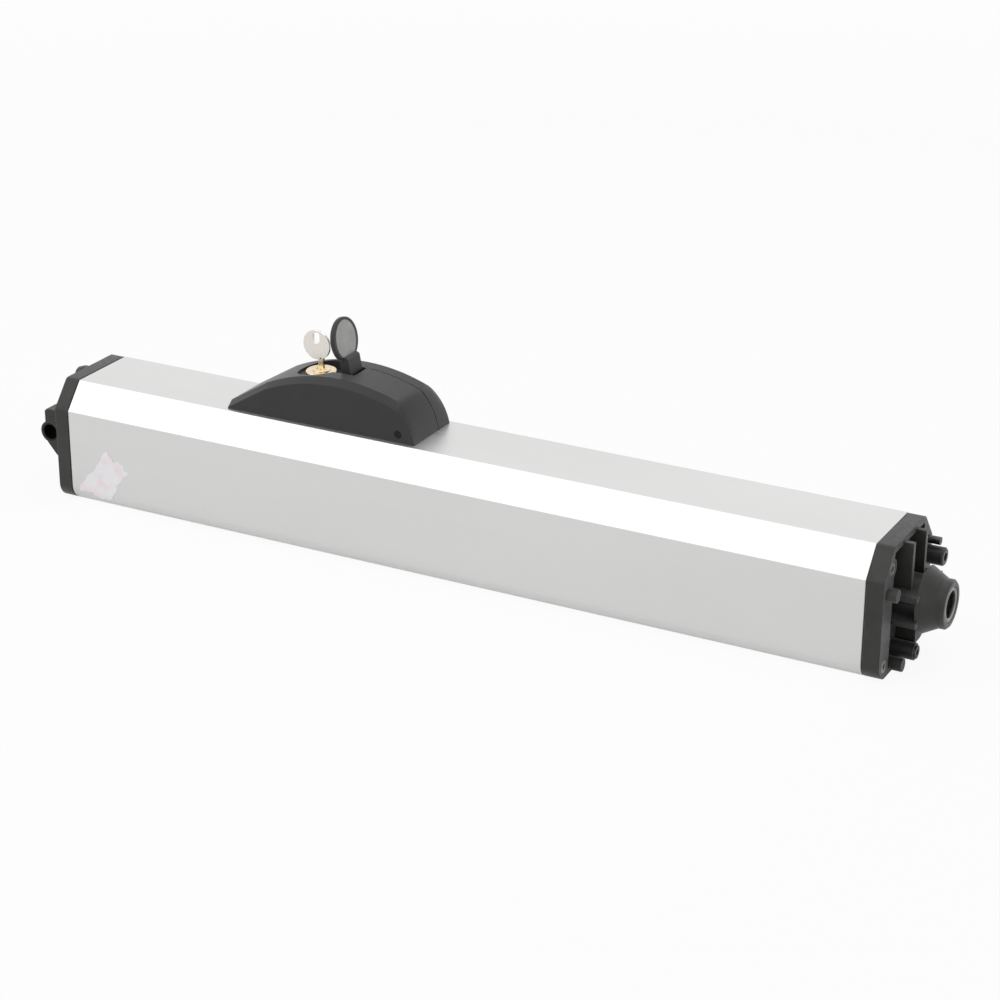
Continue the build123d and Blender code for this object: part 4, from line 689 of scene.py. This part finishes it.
class OPENER_OT_body(bpy.types.Operator):
    """Make the extruded body as one shell with soft edges"""

    bl_idname = "opener.body"
    bl_label = "Extruded body"

    def execute(self, context):
        size = settings("body_finish")
        start, end = BODY_BOX[0][0], BODY_BOX[1][0]
        ease = 0.35 * MM
        spans = 12
        outer, eased, inner = body_outline(0.0), body_outline(ease), body_outline(size.wall)
        stations = [(start, inner), (start, eased), (start + ease, outer)]
        stations += [(x, outer) for x in np.linspace(start, end, spans)[1:-1]]
        stations += [(end - ease, outer), (end, eased), (end, inner)]
        shell = surface("extruded_body", [(along_body(stations), True, True)])
        paint(shell, anodised_aluminium())
        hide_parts("oil_tank_profile")
        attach(shell, "body")
        return {"FINISHED"}


class OPENER_OT_label(bpy.types.Operator):
    """Stick the torn, bare scrap of label on the near side"""

    bl_idname = "opener.label"
    bl_label = "Label scrap"

    def execute(self, context):
        film = 0.08 * MM
        ripple = 0.07 * MM
        flat = torn_outline()
        wave = ripple * (1 + np.sin(260 * flat[..., 0]) * np.sin(310 * flat[..., 1]))
        scrap = surface("label_scrap", [(on_side(flat, film + wave), False, False)])
        shell = scrap.modifiers.new("film", "SOLIDIFY")
        shell.thickness = film
        paint(scrap, label_film())
        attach(scrap, "body")
        return {"FINISHED"}


def torn_outline():
    """The scrap's points as (x, height) on the flat, from its four corners.

    Each point blends the corners by its shares across and down. Two sines pull the shares in and
    out along the edges, and the cube of the distance from the middle fades that away inside.
    """
    steps = 60
    top = np.array([66.5, -0.6]) * MM
    right = np.array([87.6, -12.8]) * MM
    bottom = np.array([66.8, -44.5]) * MM
    left = np.array([37.5, -37.5]) * MM
    across, down = np.meshgrid(np.linspace(0, 1, steps), np.linspace(0, 1, steps), indexing="ij")
    torn = 0.035 * np.sin(9 * down + 1.0) + 0.02 * np.sin(23 * down)
    ragged = 0.03 * np.sin(11 * across + 0.5) + 0.018 * np.sin(27 * across)
    along = across + torn * (2 * across - 1) ** 3
    below = down + ragged * (2 * down - 1) ** 3
    flat = ((1 - along) * (1 - below))[..., None] * top
    flat = flat + (along * (1 - below))[..., None] * right
    flat = flat + (along * below)[..., None] * bottom
    return flat + ((1 - along) * below)[..., None] * left


def on_side(flat, lift):
    """Lays (x, distance down from mid-height) points on the near side and round its lower corner.

    Below the corner's start the distance runs on as an arc of the corner's radius.
    """
    size = settings("body_finish")
    radius = size.corner_radius
    half = size.section_width / 2
    bend = -size.section_height / 2 + radius
    below = np.clip(bend - flat[..., 1], 0, None)
    angle = below / radius
    reach = radius + lift
    y = -(half - radius) - reach * np.cos(angle)
    z = np.where(below > 0, bend - reach * np.sin(angle), flat[..., 1])
    return np.stack([flat[..., 0], y, z], axis=-1)


class OPENER_OT_castings(bpy.types.Operator):
    """Finish both painted flanges"""

    bl_idname = "opener.castings"
    bl_label = "Flanges"

    def execute(self, context):
        casting = painted_casting()
        paint(smooth_copy("front_flange", "front_casting"), casting)
        paint(smooth_copy("rear_flange", "rear_casting"), casting)
        return {"FINISHED"}


class OPENER_OT_hardware(bpy.types.Operator):
    """Finish the screws, plugs, gland, bushes and gaskets on the outside"""

    bl_idname = "opener.hardware"
    bl_label = "Outer hardware"

    def execute(self, context):
        black = bare_metal("blackened_steel", (0.09, 0.09, 0.095), 0.4)
        nylon = moulded_plastic("black_nylon", (0.03, 0.03, 0.03), 0.42)
        rubber = soft_rubber()
        greased = bare_metal("greased_bush", (0.035, 0.033, 0.03), 0.5)
        dull = bare_metal("dull_plating", (0.42, 0.42, 0.41), 0.42)
        paint(NODES["flange_screws"], dull)
        paint(NODES["pivot_bushes"], greased)
        for node in ("vent_screw", "drain_plug", "lid_hinge_pin"):
            paint(NODES[node], black)
        paint(NODES["cover_screws"], bare_metal("black_oxide", (0.026, 0.026, 0.028), 0.46))
        for node in ("cable_gland_body", "cable_gland_nut", "filler_plug"):
            paint(smooth_copy(node, node + "_dressed"), nylon)
        for node in ("flange_gaskets", "cable_gland_seal", "rod_seal", "rod_wiper"):
            paint(NODES[node], rubber)
        return {"FINISHED"}


class OPENER_OT_ram(bpy.types.Operator):
    """Finish the rod and what guides it in the hub"""

    bl_idname = "opener.ram"
    bl_label = "Rod and hub"

    def execute(self, context):
        metal = settings("metal_finish")
        chrome = bare_metal("hard_chrome", (0.76, 0.76, 0.77), 0.14, lines=(1.0, 0.05, 0.05),
                            wear=0.01, uneven=0.15)
        paint(smooth_copy("piston_rod", "ground_rod"), chrome)
        paint(NODES["rod_retaining_ring"], bare_metal("spring_steel", (0.2, 0.2, 0.21), 0.35))
        paint(NODES["rod_guide_bush"], bare_metal("bronze", (0.55, 0.36, 0.18), 0.4))
        turned = bare_metal("turned_steel", metal.steel, 0.28)
        for node in ("piston", "piston_nut", "cylinder_tube"):
            paint(NODES[node], turned)
        collar = scraper_collar(metal)
        worn = bare_metal("scraper_steel", (0.30, 0.29, 0.275), 0.42, wear=0.45, edge=0.0)
        paint(collar, worn)
        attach(collar, "body")
        return {"FINISHED"}


def scraper_collar(metal):
    """The collar that scrapes the rod clean, pressed into the hub's mouth.

    Its section is a closed outline in (x, radius), with eased front edges and a lip that leans in
    toward the rod. Each row of the grid is a point of that outline turned round the rod's axis.
    """
    set_back = 0.3 * MM
    ease = 0.5 * MM
    corner = 0.12 * MM
    steps = 96
    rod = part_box("piston_rod")[1].y + metal.scraper_clearance
    bore = metal.mouth_radius
    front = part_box("front_flange")[1].x - set_back
    back = front - metal.scraper_length
    outline = [(front, rod + ease), (front, bore - ease), (front - ease, bore), (back, bore),
               (back, rod + 4 * ease), (front - 3 * ease, rod), (front - ease, rod)]
    outline = rounded_outline(outline[::-1], [corner] * len(outline), 4)
    turn = np.linspace(0, 2 * np.pi, steps, endpoint=False)
    x, radius = outline[:, :1], outline[:, 1:]
    points = np.stack([np.broadcast_to(x, (len(outline), len(turn))),
                       radius * np.cos(turn), radius * np.sin(turn)], axis=-1)
    return surface("scraper_collar", [(points, True, True)])


class OPENER_OT_cover(bpy.types.Operator):
    """Finish the release cover"""

    bl_idname = "opener.cover"
    bl_label = "Release cover"

    def execute(self, context):
        plastic = moulded_plastic("cover_plastic", settings("dark_finish").plastic)
        paint(smooth_copy("release_cover", "cover_moulding"), plastic)
        paint(NODES["cover_plate"], plastic)
        return {"FINISHED"}


class OPENER_OT_lock(bpy.types.Operator):
    """Finish the lock and make the key that stands in it"""

    bl_idname = "opener.lock"
    bl_label = "Lock and key"

    def execute(self, context):
        metal = settings("metal_finish")
        brass = bare_metal("lock_brass", metal.brass, 0.24, wear=0.12)
        for node, name in (("lock_housing", "lock_bezel"), ("lock_plug", "lock_core")):
            paint(smooth_copy(node, name), brass)
        plating = key_plating(metal)
        for piece in (key_bow(metal), key_blade(metal)):
            paint(piece, plating)
            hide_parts("key")
            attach(piece, NODES["key"]["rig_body"])
        paint(NODES["lock_nut"], bare_metal("nut_steel", metal.steel, 0.35))
        return {"FINISHED"}


def key_bow(metal):
    """The bow as a ring of plate: hole outline and circle joined across both faces.

    The hole's outline is a circle of half the width, parted up and down by the slot's straight
    length. Each column joins a point of it to the circle's point at the same angle. The angles
    start a little past zero, so that no point falls where the slot's two halves part.
    """
    low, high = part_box("key")
    thick = (high.y - low.y) / 2
    soft = 0.35 * MM
    first = 0.01
    middle = np.array([low.x + metal.bow_radius, high.z - metal.bow_radius])
    angle = np.linspace(0, 2 * np.pi, metal.bow_segments, endpoint=False) + first
    way = np.column_stack([np.cos(angle), np.sin(angle)])
    outer = middle + metal.bow_radius * way
    inner = middle + np.array([0, metal.hole_rise]) + metal.hole_width / 2 * way
    inner[:, 1] += np.sign(way[:, 1]) * (metal.hole_length - metal.hole_width) / 2
    across = outer - inner
    across /= np.linalg.norm(across, axis=1, keepdims=True)
    section = [(inner, thick - soft), (inner + soft * across, thick)]
    section += [(outer - soft * across, thick), (outer, thick - soft)]
    section += [(place, -depth) for place, depth in reversed(section)]
    rows = [np.column_stack([place[:, 0], np.full(len(place), depth), place[:, 1]])
            for place, depth in section]
    return surface("key_bow", [(np.stack(rows), True, True)])


def key_blade(metal):
    """Neck and blade as one bar along Z, with a milled groove down each face.

    Its section is a squared circle. Its width eases from the neck's to the blade's over the
    shoulder by a logistic step, a bell curve across the section gives the groove, and its ends
    close to a line.
    """
    sunk_in_bow = 2.0 * MM
    tip_taper = 1.2 * MM
    tip_width = 0.7
    shoulder_length = 0.5 * MM
    squared = 8.0
    groove_depth, groove_place, groove_width = 0.35, -0.15, 0.22
    low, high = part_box("key")
    thick = (high.y - low.y) / 2
    top = high.z - 2 * metal.bow_radius + sunk_in_bow
    plug_low, plug_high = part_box("lock_plug")
    height = np.concatenate([[top], np.linspace(top, low.z + tip_taper, 40), [low.z, low.z]])
    ease = 1 / (1 + np.exp((height - plug_high.z) / shoulder_length))
    half = (metal.neck_width + (metal.blade_width - metal.neck_width) * ease) / 2
    half[-2:] *= tip_width
    angle = np.linspace(0, 2 * np.pi, 48, endpoint=False)
    cos, sin = np.cos(angle), np.sin(angle)
    size = (np.abs(cos) ** squared + np.abs(sin) ** squared) ** (-1 / squared)
    across = size * cos
    depth = np.clip(size * sin, -1, 1)
    groove = groove_depth * np.exp(-((across - groove_place) / groove_width) ** 2)
    milled = 1 - groove[None, :] * ease[:, None]
    open_ends = np.ones(len(height))
    open_ends[[0, -1]] = 0.0
    x = (plug_low.x + plug_high.x) / 2
    points = np.stack([x + (open_ends * half)[:, None] * across[None, :],
                       open_ends[:, None] * thick * depth[None, :] * milled,
                       np.broadcast_to(height[:, None], (len(height), len(angle)))], axis=-1)
    return surface("key_blade", [(points, False, True)])


class OPENER_OT_lid(bpy.types.Operator):
    """Finish the lid that swings over the lock"""

    bl_idname = "opener.lid"
    bl_label = "Lock lid"

    def execute(self, context):
        plastic = moulded_plastic("lid_plastic", settings("dark_finish").plastic, 0.42)
        paint(smooth_copy("lock_lid", "lid_moulding"), plastic)
        # The inlay's light grey is a painted reflection of the white studio in the lid.
        paint(NODES["lid_inlay"], inlay_painted_reflection())
        return {"FINISHED"}


class OPENER_OT_inside(bpy.types.Operator):
    """Finish the pump, motor, valves and ram parts inside the body"""

    bl_idname = "opener.inside"
    bl_label = "Inside works"

    def execute(self, context):
        metal = settings("metal_finish")
        machined = bare_metal("machined_aluminium", (0.66, 0.66, 0.67), 0.36)
        steel = bare_metal("inner_steel", metal.steel, 0.3)
        dark = bare_metal("oiled_steel", (0.16, 0.16, 0.17), 0.4)
        brass = bare_metal("screw_brass", metal.brass, 0.32)
        rubber = soft_rubber()
        finishes = {
            machined: ("valve_block", "pump_body", "pump_cover", "motor_front_shield",
                       "motor_rear_shield"),
            steel: ("tie_rods", "tie_rod_nuts", "front_chamber_pipe", "valve_balls",
                    "check_valve_plugs", "release_needle", "release_spindle", "pump_bolts",
                    "motor_bolts", "motor_shaft", "bearing_outer_rings", "bearing_inner_rings",
                    "bearing_balls", "shaft_coupling"),
            dark: ("valve_springs", "suction_strainer", "pump_drive_gear", "pump_driven_gear",
                   "stator_core", "rotor_core"),
            brass: ("bypass_screw_opening", "bypass_screw_closing"),
            rubber: ("o_rings", "piston_seals"),
            wound_copper(): ("stator_windings",),
        }
        for material, nodes in finishes.items():
            for node in nodes:
                paint(NODES[node], material)
        return {"FINISHED"}


class OPENER_PT_panel(bpy.types.Panel):
    """Lists the opener's steps in the sidebar"""

    bl_label = "Gate opener"
    bl_idname = "OPENER_PT_panel"
    bl_space_type = "VIEW_3D"
    bl_region_type = "UI"
    bl_category = "Gate opener"

    def draw(self, context):
        for name, group in GROUPS.items():
            box = self.layout.box()
            box.label(text=group.__doc__)
            for field in group.__annotations__:
                box.prop(settings(name), field)
        for operator in OPERATORS:
            self.layout.operator(operator.bl_idname)


OPERATORS = (
    OPENER_OT_stage,
    OPENER_OT_body,
    OPENER_OT_label,
    OPENER_OT_castings,
    OPENER_OT_hardware,
    OPENER_OT_ram,
    OPENER_OT_cover,
    OPENER_OT_lock,
    OPENER_OT_lid,
    OPENER_OT_inside,
)
GROUPS = {
    "opener_studio": StudioSettings,
    "body_finish": BodyFinish,
    "dark_finish": DarkFinish,
    "metal_finish": MetalFinish,
}


def register():
    for name, group in GROUPS.items():
        bpy.utils.register_class(group)
        setattr(bpy.types.Scene, name, PointerProperty(type=group))
    for operator in OPERATORS:
        bpy.utils.register_class(operator)
    bpy.utils.register_class(OPENER_PT_panel)


def unregister():
    bpy.utils.unregister_class(OPENER_PT_panel)
    for operator in reversed(OPERATORS):
        bpy.utils.unregister_class(operator)
    for name, group in GROUPS.items():
        delattr(bpy.types.Scene, name)
        bpy.utils.unregister_class(group)


def main():
    register()
    for operator in OPERATORS:
        category, name = operator.bl_idname.split(".")
        getattr(getattr(bpy.ops, category), name)()
    bpy.context.view_layer.update()


if __name__ == "__main__":
    main()
